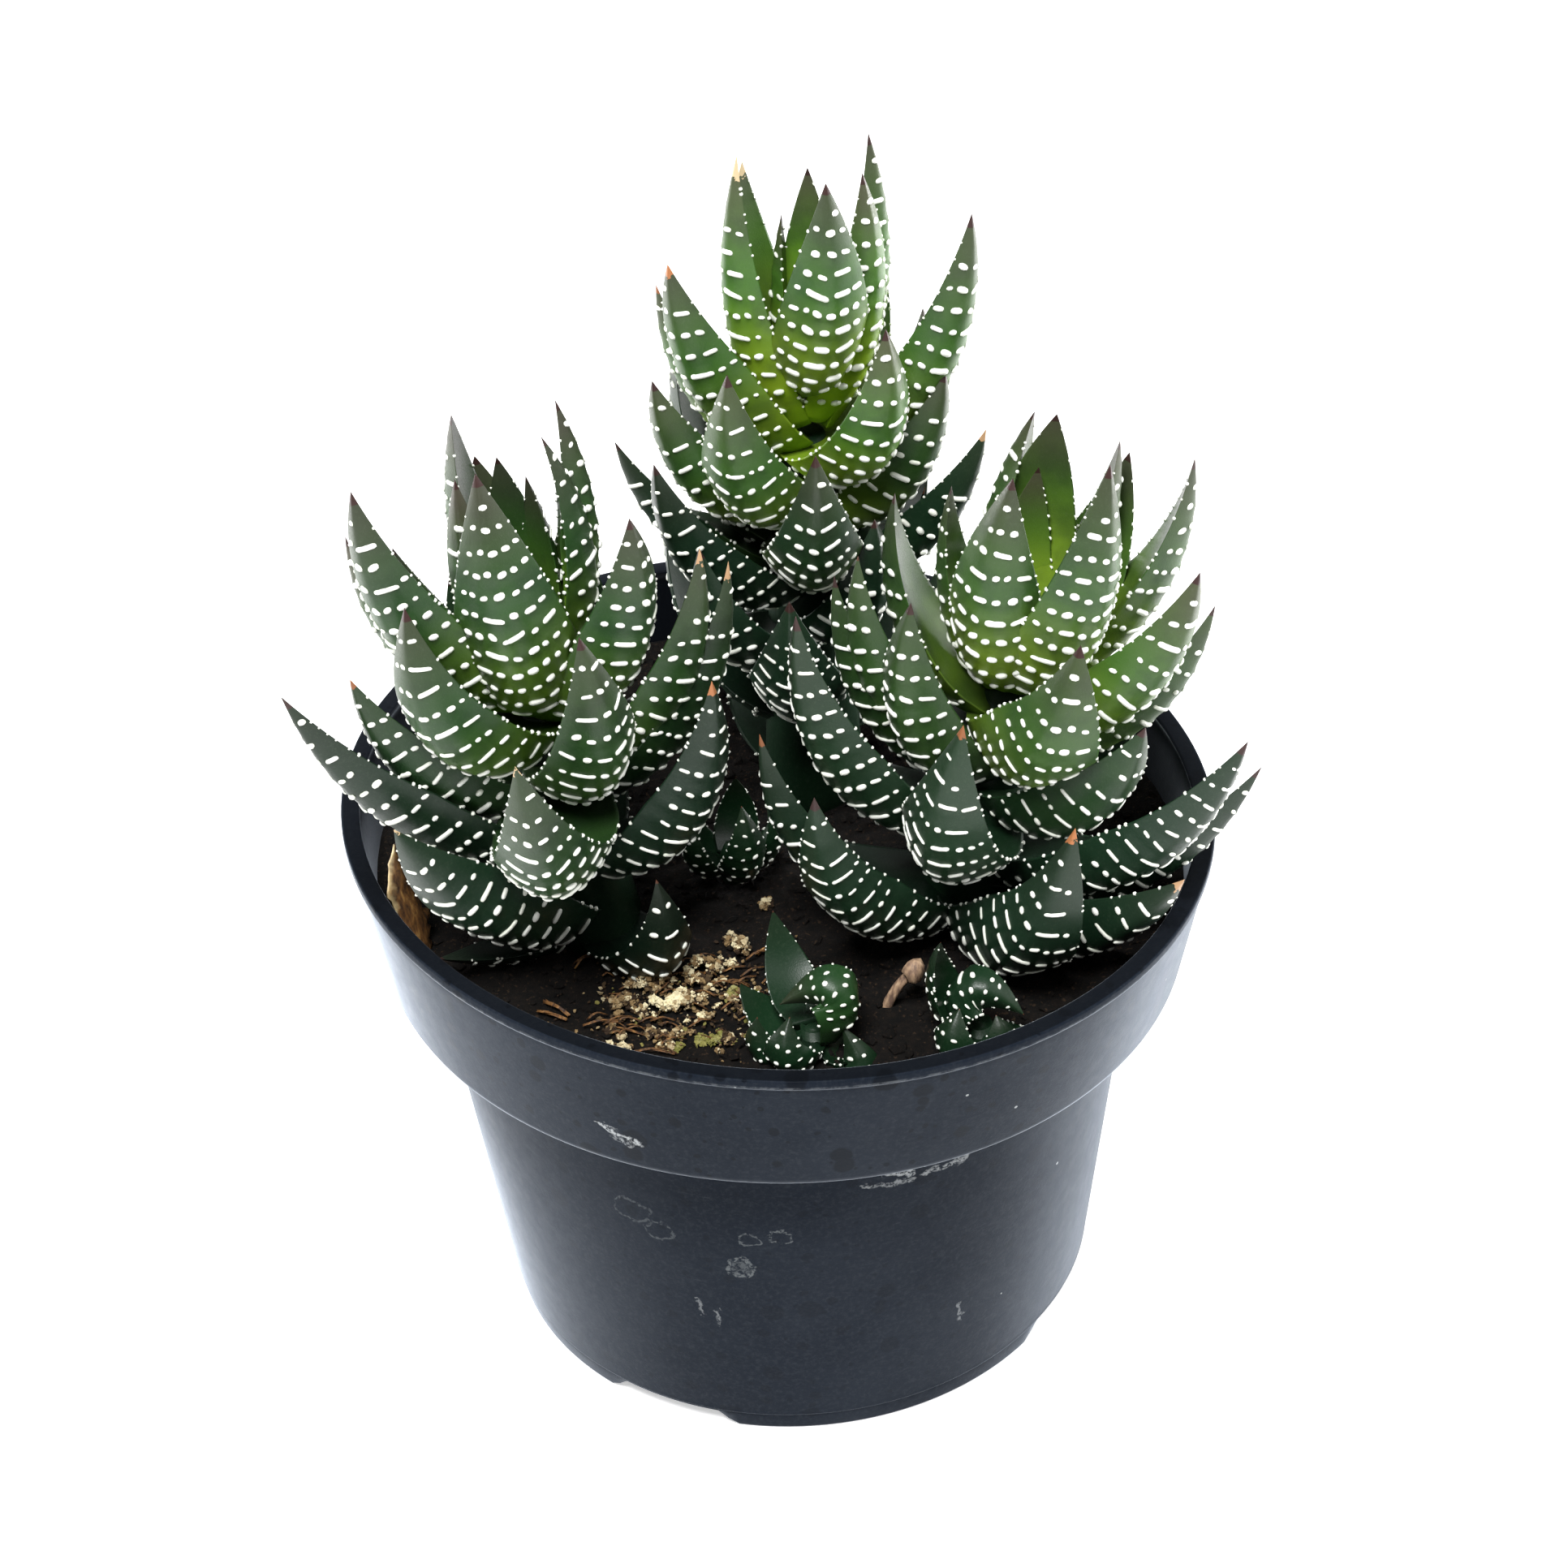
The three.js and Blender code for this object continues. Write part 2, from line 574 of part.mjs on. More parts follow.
function soilSolid() {
  const outline = [[0, FLOOR_TOP + CLEARANCE]];
  outline.push([FOOT_RADIUS - WALL - CLEARANCE, FLOOR_TOP + CLEARANCE]);
  outline.push([STEP_RADIUS - WALL - CLEARANCE, STEP_HEIGHT + SHELF_RISE + CLEARANCE]);
  const shoulder = COLLAR_FOOT_RADIUS - WALL - 2 * CLEARANCE;
  outline.push([shoulder, COLLAR_FOOT_HEIGHT + COLLAR_ROUND + 2 * CLEARANCE]);
  for (const radius of SOIL_RINGS) outline.push([radius, SOIL_TOP]);
  outline.push([0, SOIL_TOP]);
  const geometry = pressOval(turned(outline, SOIL_SIDES));
  const position = geometry.attributes.position;
  for (let i = 0; i < position.count; i += 1) {
    if (position.getZ(i) > SOIL_TOP - SURFACE_BAND) {
      position.setZ(i, SOIL_TOP + soilBump(position.getX(i), position.getY(i)));
    }
  }
  let soil = toSolid(geometry);
  const rosetteHole = {
    from: -STEM_DEPTH - CLEARANCE, to: HOLE_OVERSHOOT, radius: STEM_RADIUS + CLEARANCE, sides: STEM_SIDES,
  };
  const offsetHole = {
    from: -OFFSET_STEM_DEPTH - CLEARANCE,
    to: HOLE_OVERSHOOT,
    radius: OFFSET_STEM_RADIUS + CLEARANCE,
    sides: OFFSET_STEM_SIDES,
  };
  for (const [plants, hole] of [[ROSETTES, rosetteHole], [OFFSETS, offsetHole]]) {
    for (const grown of plants) {
      const { base, axis } = stemAxis(grown);
      soil = soil.subtract(shaft(base, axis, hole));
    }
  }
  return soil;
}

function addPiece(group, name, solid, { colour, roughness }) {
  const material = new THREE.MeshStandardMaterial({ color: colour, roughness, metalness: 0 });
  const mesh = new THREE.Mesh(toGeometry(solid), material);
  mesh.name = name;
  group.add(mesh);
}

function addPlant(group, { name, colour }, solid) {
  addPiece(group, name, solid, { colour, roughness: LEAF_ROUGHNESS });
}

const plant = new THREE.Group();
addPiece(plant, 'pot', potSolid(), SURFACES.pot);
addPiece(plant, 'soil', soilSolid(), SURFACES.soil);
const rosettes = ROSETTES.map(rosetteSolid);
ROSETTES.forEach((rosette, i) => addPlant(plant, rosette, rosettes[i]));
const offsets = OFFSETS.map(offsetSolid);
OFFSETS.forEach((offset, i) => addPlant(plant, offset, offsets[i]));
addPiece(plant, 'moss_crust', crustSolid([...rosettes, ...offsets]), SURFACES.moss_crust);
addPiece(plant, 'dry_leaf', dryLeafSolid(), SURFACES.dry_leaf);
addPiece(plant, 'dry_stub', stubSolid(), SURFACES.dry_stub);

export default plant;
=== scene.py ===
# Potted haworthia: three zebra-banded rosettes and their offsets in a round plastic nursery pot.
# Shapes are worked out in millimetres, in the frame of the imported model, and written in metres.
import math

import bmesh
import bpy
import numpy as np
from mathutils import Matrix, Vector, noise


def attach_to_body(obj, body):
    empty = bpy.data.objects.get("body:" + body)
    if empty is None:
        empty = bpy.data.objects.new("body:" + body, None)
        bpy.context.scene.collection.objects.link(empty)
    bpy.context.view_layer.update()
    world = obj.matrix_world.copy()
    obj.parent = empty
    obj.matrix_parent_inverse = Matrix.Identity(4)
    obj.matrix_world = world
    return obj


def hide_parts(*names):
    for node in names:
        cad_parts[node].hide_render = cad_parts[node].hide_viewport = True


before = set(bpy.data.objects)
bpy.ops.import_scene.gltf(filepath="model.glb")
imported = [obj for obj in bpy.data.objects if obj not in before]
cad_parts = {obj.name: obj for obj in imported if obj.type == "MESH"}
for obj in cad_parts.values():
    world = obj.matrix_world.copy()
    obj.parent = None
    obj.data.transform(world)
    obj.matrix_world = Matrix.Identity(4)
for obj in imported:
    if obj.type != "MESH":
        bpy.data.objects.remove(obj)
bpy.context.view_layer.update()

MM = 0.001
SEED = 11

# Pot, the same sizes as the solid
POT_HEIGHT = 74.0
RIM_RADIUS = 54.85
RIM_WIDTH = 2.6
LIP_HEIGHT = 1.5
COLLAR_TOP_RADIUS = 54.5
COLLAR_FOOT_RADIUS = 51.7
COLLAR_FOOT_HEIGHT = 54.4
COLLAR_ROUND = 1.5
SHELF_RISE = 0.5
STEP_RADIUS = 45.3
STEP_HEIGHT = 52.6
FOOT_RADIUS = 39.0
FOOT_HEIGHT = 2.8
FOOT_RING_WIDTH = 2.4
WALL = 1.3
FLOOR_UNDERSIDE = 2.2
FLOOR_TOP = 3.8
RIM_OVAL = 0.05
POT_SIDES = 180
NOTCH_ANGLES = (-120, -30, 60, 150)
NOTCH_HALF_ANGLE = 12.6
NOTCH_EDGE_ANGLE = 1.6
DRAIN_RADIUS = 4.5
DRAIN_CIRCLE = 25
DRAIN_ANGLES = (-75, 15, 105, 195)
DRAIN_SIDES = 32
DRAIN_OVERSHOOT = 1
SHARP_EDGE_ANGLE = 35

# Soil
SOIL_TOP = 64.0
SOIL_BUMP = 0.35
SOIL_RADIUS = 51.3
SOIL_SIDES = 150
SOIL_RING_COUNT = 56
GRAINS = 1500
STEM_BASE = SOIL_TOP + 1

# Leaf section and outline, as shares of the leaf's length and width
WIDEST_AT = 0.24
ROOT_WIDTH = 0.7
OUTLINE_POWER = 1.9
THICKNESS = 0.42
THICKNESS_LOSS = 0.04
FACE_BULGE = 0.07
ROOT_OFFSET = 1.0
GOLDEN_ANGLE = 137.5

# Stem and core of a plant: radii, depth under the soil, and heights as shares of the stem's
CORE_RADIUS = 6.4
CORE_TOP_RADIUS = 3.2
OFFSET_CORE_RADIUS = 1.6
OFFSET_CORE_TOP_RADIUS = 0.9
STEM_DEPTH = 8
CORE_FOOT_HEIGHT = 2
CORE_MIDDLE_SHARE = 0.6
CORE_SHARE = 0.88
CORE_END_TAPER = 0.8
CORE_SIDES = 16
# The core takes a deep colour, a strong share of the per-leaf darkening and the leaves' painted base shadow:
# painted shade in the gaps between leaf bases.
CORE_AGE = 0.6
CORE_SHADE = 0.9

# Ages of the offsets' leaves, from 0 for a young one to 1 for an old one
OFFSET_AGE = 0.65
FRESH_AGE = 0.22

# Leaves on the far side, from the youngest to the oldest
SPIRAL_REACH = (14, 24)
SPIRAL_RISE = (28, 23)
SPIRAL_BELLY = (0.12, 0.16)
SPIRAL_WIDTH = (12.5, 14)

# Each leaf: azimuth, height of the root on the stem, reach of the tip from the stem,
# rise of the tip above the root, belly, width, roll, and the look of its tip.
ROSETTES = [
    {
        "name": "rosette_back",
        "slot": "leaf_back",
        "base": (6, 15),
        "lean": 0.02,
        "stem_top": 61,
        "leaves": [
            (27, 56, 10, 36.5, 0.08, 10.5, -60, "dark"),
            (-148, 57, 8.5, 38.5, 0.08, 8.5, 5, "cream"),
            (133, 58, 9, 30.5, 0.08, 10, 0, "cream"),
            (76, 60, 7, 27, 0.06, 8, 0, "dark"),
            (106, 60, 6, 21.5, 0.05, 6, 60, "dark"),
            (-74, 63, 10, 31, 0.1, 11.8, -12, "dark"),
            (-29, 58, 8.5, 34, 0.08, 9.5, -30, "dark"),
            (-22, 52, 21.5, 36, 0.12, 12, -35, "dark"),
            (-156, 55, 17.5, 28, 0.1, 12.5, 30, "orange"),
            (171, 53, 17.5, 21.5, 0.1, 11.5, 25, "red"),
            (-60, 53, 18, 24.5, 0.18, 13, 0, "dark"),
            (-119, 49, 20.5, 25, 0.2, 13.5, 10, "dark"),
            (-155, 46, 20.5, 22, 0.14, 13, 30, "dark"),
            (-90, 40, 21, 24, 0.2, 12.8, 0, "dark"),
            (-29, 44, 19, 23, 0.12, 12.5, -30, "dark"),
            (-19, 36, 23, 21.5, 0.12, 12.5, -30, "tan"),
            (-177, 37, 23.5, 18, 0.12, 12.5, 25, "dark"),
            (-144, 34, 23.5, 25.5, 0.14, 12.5, 20, "dark"),
            (-27, 30, 16, 19.5, 0.1, 4, 0, "orange"),
            (-130, 26, 22, 23, 0.16, 13, 0, "dark"),
            (-100, 20, 21, 23, 0.18, 13.5, 0, "dark"),
            (-60, 28, 15, 21, 0.14, 12, 0, "dark"),
        ],
        "spiral": {"first": 50, "from": 12, "to": 168, "count": 25, "top": 51, "drop": 2.05},
    },
    {
        "name": "rosette_left",
        "slot": "leaf_left",
        "base": (-24, -10),
        "lean": -0.11,
        "stem_top": 40,
        "leaves": [
            (116, 40, 7, 33, 0.08, 11.5, 50, "dark"),
            (27, 40, 10.5, 33.5, 0.08, 10.5, -40, "dark"),
            (5, 40, 7.2, 31.5, 0.08, 11, 0, "dark"),
            (77, 40, 5, 27, 0.06, 9, 0, "dark"),
            (-138, 39, 4.5, 31, 0.06, 8.5, 30, "dark"),
            (-92, 38, 8, 35.5, 0.12, 14.5, 0, "dark"),
            (42, 40, 5.5, 24.5, 0.05, 7, 0, "dark"),
            (-25, 36, 17.5, 27.5, 0.12, 13.5, -30, "dark"),
            (-149, 39, 17, 35.5, 0.12, 13, 30, "dark"),
            (178, 37, 18, 25.5, 0.12, 12, 20, "dark"),
            (-127, 33, 18.5, 28.5, 0.2, 14, 15, "dark"),
            (-65, 27, 19, 28, 0.18, 13.5, 0, "dark"),
            (-92, 24, 31, 24.5, 0.25, 15.5, 0, "pale"),
            (-154, 24, 22.5, 25.5, 0.14, 13, 30, "red"),
            (-155, 16, 31, 35, 0.1, 13, 30, "dark"),
            (-134, 4, 26.5, 29.5, 0.1, 13.5, 50, "pale"),
            (-56, 1, 18.5, 15.5, 0.3, 11, -20, "green"),
            (-33, 12, 26, 31.5, 0.14, 12.5, -30, "orange"),
            (-12, 26, 23.5, 30, 0.12, 12.5, -25, "tan"),
            (-6, 22, 26, 30, 0.12, 12, -20, "tan"),
            (-148, 1, 22, 6, 0.05, 7, 0, "dark"),
        ],
        "spiral": {"first": 100, "from": 60, "to": 165, "count": 18, "top": 34, "drop": 1.95},
    },
    {
        "name": "rosette_right",
        "slot": "leaf_right",
        "base": (23, -12),
        "lean": 0.19,
        "stem_top": 39,
        "leaves": [
            (105, 39, 8, 28.5, 0.08, 11.5, 50, "dark"),
            (90, 40, 5, 29, 0.08, 11.5, 0, "dark"),
            (38, 39, 11, 26, 0.08, 10, -40, "dark"),
            (4, 37, 16.5, 30, 0.12, 13, -20, "dark"),
            (100, 39, 5, 22.5, 0.06, 8, 0, "dark"),
            (-126, 37, 12, 32, 0.1, 13, 10, "dark"),
            (-73, 37, 12, 36, 0.12, 13, 8, "dark"),
            (-39, 32, 21, 28.5, 0.14, 13.5, -30, "dark"),
            (-11, 27, 22, 23, 0.14, 12.5, -25, "dark"),
            (-80, 30, 18, 22, 0.24, 15, -35, "dark"),
            (-52, 20, 21.5, 20.5, 0.16, 14, -25, "dark"),
            (-114, 15, 24, 27.5, 0.22, 15, -10, "red"),
            (-77, 3, 25, 27.5, 0.24, 14.5, -45, "orange"),
            (-39, 10, 32, 32, 0.14, 14, -30, "dark"),
            (-18, 6, 32, 25, 0.14, 13, -30, "dark"),
            (-47, 1, 30.5, 21.5, 0.12, 12.5, -50, "tan"),
            (-142, 3, 32, 26, 0.18, 13, 45, "dark"),
            (-161, 15, 31, 33, 0.14, 14, 25, "dark"),
            (156, 31, 18.5, 23.5, 0.12, 12.5, 10, "dark"),
            (-173, 25, 22, 27, 0.14, 12.5, 25, "green"),
            (-148, 23, 19, 28, 0.14, 12.5, 20, "dark"),
            (-177, 22, 24, 26, 0.12, 12, 20, "dark"),
            (153, 34, 12, 23.5, 0.08, 9, 0, "dark"),
            (-169, 3, 31, 24.5, 0.16, 13, 25, "red"),
        ],
        "spiral": {"first": 40, "from": 8, "to": 140, "count": 18, "top": 34, "drop": 1.95},
    },
]

OFFSETS = [
    {
        "name": "offset_front",
        "slot": "leaf_offset",
        "base": (2, -36.5),
        "lean": 0,
        "stem_top": 2,
        "leaves": [
            (-10, 1, -4, 4, 0.95, 7.5, -60, "fresh"),
            (148, 1, 10, 4, 0.2, 7.5, 0, "green"),
            (-165, 0.5, 7, 5, 0.4, 6.5, 50, "green"),
            (-130, 0.5, 4.5, 6, 0.45, 7, 30, "green"),
            (-35, 0.5, 4, 3, 1.2, 6.5, -50, "green"),
            (108, 2, 12, 9, 0.15, 6.8, 0, "green"),
            (50, 2, 5, 6, 0.2, 6, 0, "green"),
        ],
    },
    {
        "name": "offset_right",
        "slot": "leaf_offset",
        "base": (22, -38.5),
        "lean": 0,
        "stem_top": 2,
        "leaves": [
            (150, 1, 4.8, 12, 0.12, 7, 0, "green"),
            (150, 1, -6, 4, 0.6, 7, 55, "green"),
            (-130, 0.5, 4, 6.5, 0.35, 7.5, 0, "green"),
            (-60, 0.5, 3.5, 5, 0.3, 6, 0, "green"),
            (-27, 1, 8, 4, 0.25, 6.5, -20, "green"),
        ],
    },
    {
        "name": "offset_middle",
        "slot": "leaf_offset",
        "base": (-6, -3),
        "lean": 0,
        "stem_top": 5,
        "leaves": [
            (-70, 2, 5, 12, 0.18, 6.5, 0, "green"),
            (-150, 2, 5, 9, 0.18, 6, 0, "green"),
            (-10, 2, 5, 9, 0.18, 6, 0, "green"),
            (70, 2, 4, 10, 0.15, 6, 0, "green"),
            (150, 1, 5, 7, 0.18, 6, 0, "green"),
        ],
    },
]

# White bands: spacing of the rows along a leaf, how far their middle bows towards the tip,
# and the size of the pearls in them
YOUNG_ROW_SPACING = 3.3
OLD_ROW_SPACING = 3.6
ROW_BOW = 1.6
ROW_RIDGE = 0.2
PEARL_RADIUS = 0.55
PEARL_HEIGHT = 0.38
PEARL_GAP = (0.4, 0.85)
TOOTH_SHARE = 0.7
TOOTH_LENGTH = 0.38
OFFSET_ROW_SPACING = 1.9
OFFSET_PEARL_RADIUS = 0.35
OFFSET_PEARL_GAP = (0.7, 1.2)
OFFSET_DASH_SHARE = 0.08
OFFSET_TOOTH_SIZE = 0.75

# How far the dry end of each kind of tip reaches back, and how brown or pale it is
TIP_LOOKS = {
    "dark": (0.04, 0.0),
    "green": (0.015, 0.15),
    "fresh": (0.01, 0.1),
    "pale": (0.022, 0.9),
    "red": (0.035, 0.35),
    "orange": (0.045, 0.65),
    "tan": (0.05, 0.8),
    "cream": (0.065, 1.0),
}


def unit(vector):
    return vector / np.linalg.norm(vector)


def leaf_width(t):
    """Width along a leaf as a share of its widest."""
    lower = ROOT_WIDTH + (1 - ROOT_WIDTH) * np.sin(np.clip(t / WIDEST_AT, 0, 1) * math.pi / 2)
    upper = 1 - np.clip((t - WIDEST_AT) / (1 - WIDEST_AT), 0, 1) ** OUTLINE_POWER
    return np.where(t < WIDEST_AT, lower, upper)


class Leaf:
    """The surface of one thick pointed leaf, by share t of its length and place x across it."""

    def __init__(self, plant, row, row_spacing):
        azimuth, attach, reach, rise, belly, self.width, self.roll, self.tip = row
        self.base = np.array([*plant["base"], STEM_BASE], float)
        self.axis = unit(np.array([plant["lean"], 0, 1.0]))
        angle = math.radians(azimuth)
        outward = np.array([math.cos(angle), math.sin(angle), 0])
        self.outward = unit(outward - (outward @ self.axis) * self.axis)
        self.side = np.cross(self.axis, self.outward)
        self.root = np.array([ROOT_OFFSET, attach])
        self.end = np.array([reach, attach + rise])
        chord = self.end - self.root
        span = np.linalg.norm(chord)
        bend = np.array([chord[1], -chord[0]]) / span
        self.control = self.root + chord / 2 + bend * 2 * belly * span
        self.age = min(1.0, max(0.0, 1 - attach / plant["stem_top"]))
        midrib = self.skeleton(np.linspace(0, 1, 25))[0]
        self.length = np.linalg.norm(np.diff(midrib, axis=0), axis=1).sum()
        young, old = row_spacing
        count = max(4, round(self.length / (young + (old - young) * self.age)))
        self.rows = 0.06 + 0.89 * ((np.arange(count) + 0.4) / count) ** 0.95
        self.bow = ROW_BOW * (1 - 0.6 * self.age) / self.length

    def skeleton(self, t):
        """Centre line, direction across and direction to the back, at each t."""
        t = t[:, None]
        curve = (1 - t) ** 2 * self.root + 2 * t * (1 - t) * self.control + t ** 2 * self.end
        along = 2 * (1 - t) * (self.control - self.root) + 2 * t * (self.end - self.control)
        along = along / np.linalg.norm(along, axis=1, keepdims=True)
        centre = self.base + curve[:, :1] * self.outward + curve[:, 1:] * self.axis
        flat_back = along[:, 1:] * self.outward - along[:, :1] * self.axis
        twist = math.radians(self.roll) * np.clip(2 * t, 0, 1)
        across = np.cos(twist) * self.side - np.sin(twist) * flat_back
        back = np.cos(twist) * flat_back + np.sin(twist) * self.side
        return centre, across, back

    def row_place(self, row, x):
        """Where a row runs at each place across the leaf."""
        return row + self.bow * (1 - row) * (1 - x ** 2)

    def ridge(self, t, x):
        """Low raised band under each row of pearls."""
        gap = np.abs(t[:, None] - self.row_place(self.rows[None], x[:, None])).min(axis=1) * self.length
        return ROW_RIDGE * np.exp(-(gap / 0.6) ** 2) * np.clip(2.2 * (1 - t), 0, 1)

    def back_surface(self, t, x):
        centre, across, back = self.skeleton(t)
        half = self.width * leaf_width(t) / 2
        depth = 2 * half * (THICKNESS - THICKNESS_LOSS * t)
        raised = depth * (1 - np.abs(x) ** (2.3 - 0.9 * t))
        raised = raised + self.ridge(t, x) * (1 - x ** 4)
        return centre + across * (x * half)[:, None] + back * raised[:, None]

    def face_surface(self, t, x):
        centre, across, back = self.skeleton(t)
        half = self.width * leaf_width(t) / 2
        bulge = FACE_BULGE * 2 * half * np.sin(np.clip(1.1 * t, 0, 1) * math.pi)
        inward = bulge * (1 - x ** 2)
        return centre + across * (x * half)[:, None] + back * inward[:, None]

    def normal(self, surface, t, x):
        """Outward direction of the back or the face at each place."""
        step = 0.01
        x_low = np.clip(x - step, -1, 1)
        x_high = np.clip(x + step, -1, 1)
        over = surface(t, x_high) - surface(t, x_low)
        up = surface(t + step, x) - surface(t - step, x)
        normal = np.cross(up, over)
        normal /= np.linalg.norm(normal, axis=1, keepdims=True)
        facing = np.einsum("ij,ij->i", normal, self.skeleton(t)[2])
        outward = -1 if surface == self.face_surface else 1
        return normal * np.where(facing * outward < 0, -1, 1)[:, None]


class MeshParts:
    """Gathers vertices, faces and per-vertex values, and makes one object of them."""

    def __init__(self):
        self.vertices = []
        self.faces = []
        self.values = {}
        self.count = 0

    def add(self, vertices, faces, **values):
        vertices = np.asarray(vertices, float).reshape(-1, 3)
        self.vertices.append(vertices)
        self.faces.extend([[corner + self.count for corner in face] for face in faces])
        for name, value in values.items():
            filled = np.broadcast_to(np.asarray(value, float), (len(vertices),))
            self.values.setdefault(name, []).append(filled)
        self.count += len(vertices)

    def make(self, name, material, smooth=True):
        mesh = bpy.data.meshes.new(name)
        points = np.concatenate(self.vertices) * MM
        mesh.from_pydata(points.tolist(), [], self.faces)
        for key, chunks in self.values.items():
            attribute = mesh.attributes.new(key, "FLOAT", "POINT")
            attribute.data.foreach_set("value", np.concatenate(chunks).astype(np.float32))
        if smooth:
            mesh.polygons.foreach_set("use_smooth", [True] * len(mesh.polygons))
        mesh.materials.append(material)
        mesh.validate()
        piece = bpy.data.objects.new(name, mesh)
        bpy.context.scene.collection.objects.link(piece)
        return piece


def grid_faces(rows, columns, closed):
    """Quads of a grid of points, with the last column joined to the first if closed."""
    faces = []
    last = columns if closed else columns - 1
    for i in range(rows - 1):
        for j in range(last):
            a = i * columns + j
            b = i * columns + (j + 1) % columns
            faces.append([a, b, b + columns, a + columns])
    return faces


def tube_faces(rows, sides):
    """Quads of a closed tube of rings, with a flat cap at both ends."""
    faces = grid_faces(rows, sides, closed=True)
    faces.append(list(range(sides - 1, -1, -1)))
    faces.append(list(range((rows - 1) * sides, rows * sides)))
    return faces


def turns(sides):
    """Evenly spaced angles round a circle."""
    return np.arange(sides) * 2 * math.pi / sides


def ring_at(radius, height, sides):
    """A level ring of points round the middle."""
    turn = turns(sides)
    return np.stack([radius * np.cos(turn), radius * np.sin(turn), np.full(sides, height)], axis=1)


# The leaf skin

BACK_POINTS = 15
FACE_POINTS = 9


def leaf_rings(leaf):
    """Rings along a leaf: four for each row of pearls, closer together at the tip."""
    rings = [0.0, 0.03]
    for here, after in zip(leaf.rows[:-1], leaf.rows[1:]):
        rings.extend(here + (after - here) * np.arange(4) / 4)
    rings.extend(leaf.rows[-1] + (0.992 - leaf.rows[-1]) * np.array([0, 0.3, 0.6, 0.85, 1]))
    return np.array(rings)


def add_leaf_skin(parts, leaf, shade):
    rings = leaf_rings(leaf)
    back_x = np.sin(np.linspace(-1, 1, BACK_POINTS) * math.pi / 2)
    face_x = np.sin(np.linspace(1, -1, FACE_POINTS) * math.pi / 2)[1:-1]
    columns = BACK_POINTS + len(face_x)
    points = np.zeros((len(rings), columns, 3))
    for j, x in enumerate(back_x):
        points[:, j] = leaf.back_surface(rings, np.full(len(rings), x))
    for j, x in enumerate(face_x):
        points[:, BACK_POINTS + j] = leaf.face_surface(rings, np.full(len(rings), x))
    apex = leaf.face_surface(np.array([1.0]), np.array([0.0]))
    vertices = np.concatenate([points.reshape(-1, 3), apex])
    faces = grid_faces(len(rings), columns, closed=True)
    tip = len(rings) * columns
    last = (len(rings) - 1) * columns
    faces.extend([last + j, last + (j + 1) % columns, tip] for j in range(columns))
    faces.append(list(range(columns - 1, -1, -1)))
    across = np.concatenate([back_x, face_x])
    on_face = np.concatenate([np.zeros(BACK_POINTS), np.ones(len(face_x))])
    reach, dryness = TIP_LOOKS[leaf.tip]
    parts.add(
        vertices, faces,
        along=np.append(np.repeat(rings, columns), 1.0),
        across=np.append(np.tile(np.abs(across), len(rings)), 0.0),
        inner_face=np.append(np.tile(on_face, len(rings)), 0.0),
        age=leaf.age,
        shade=shade,
        tip_reach=reach,
        tip_dryness=dryness,
    )


# The pearls

CROSS_STEPS = np.array([-1, -0.62, 0, 0.62, 1])
EMBED = 0.05
SPAN_LENGTH = 0.45
MOST_SPANS = 5
ROW_SCATTER = 0.13
ROW_WAVE = 0.16


def pearl_template(spans):
    """Columns of a dome: share of the straight stretch, share of the round end, and width."""
    ends = [(-1, -1, 0), (-1, -0.72, 0.7)]
    middle = [(-1 + 2 * k / spans, 0, 1) for k in range(spans + 1)] if spans else [(0, 0, 1)]
    return ends + middle + [(1, 0.72, 0.7), (1, 1, 0)]


def pearl_faces(spans):
    columns = len(pearl_template(spans)) - 2
    across = len(CROSS_STEPS)
    faces = [[i + 1 for i in face] for face in grid_faces(columns, across, closed=False)]
    last = 1 + (columns - 1) * across
    end = columns * across + 1
    faces.extend([0, j + 2, j + 1] for j in range(across - 1))
    faces.extend([end, last + j, last + j + 1] for j in range(across - 1))
    rim = [0] + [1 + c * across for c in range(columns)] + [end]
    rim += [c * across + across for c in range(columns - 1, -1, -1)]
    faces.append(rim)
    return faces


PEARL_FACES = [pearl_faces(spans) for spans in range(MOST_SPANS + 1)]


def row_marks(half_arc, t, age, rng, size, gap, dash_share):
    """Centres, half lengths and radii of the marks in one row, from the middle outwards."""
    marks = []
    dash_radius = size * (0.86 - 0.14 * age)
    first = rng.uniform(-0.8, 0.8)
    for direction in (1, -1):
        place = first
        if direction == -1:
            place = first - rng.uniform(*gap)
        while True:
            middle = max(0.0, 1 - abs(place) / half_arc)
            if rng.random() < dash_share * (1.15 - 0.6 * t) * (0.3 + middle):
                half = rng.uniform(0.65, 1.05 + 0.95 * middle)
                radius = dash_radius * rng.uniform(0.9, 1.12)
            else:
                radius = size * rng.uniform(0.8, 1.12) * (0.7 + 0.3 * min(1, 2 * middle))
                half = radius * rng.uniform(1.05, 1.5)
            radius *= 1 - 0.3 * t
            half = max(half * (1 - 0.25 * t), radius)
            centre = place + direction * half
            if abs(centre) + half > half_arc - 0.25:
                break
            marks.append((centre, half, radius))
            place = centre + direction * (half + rng.uniform(*gap))
    return marks


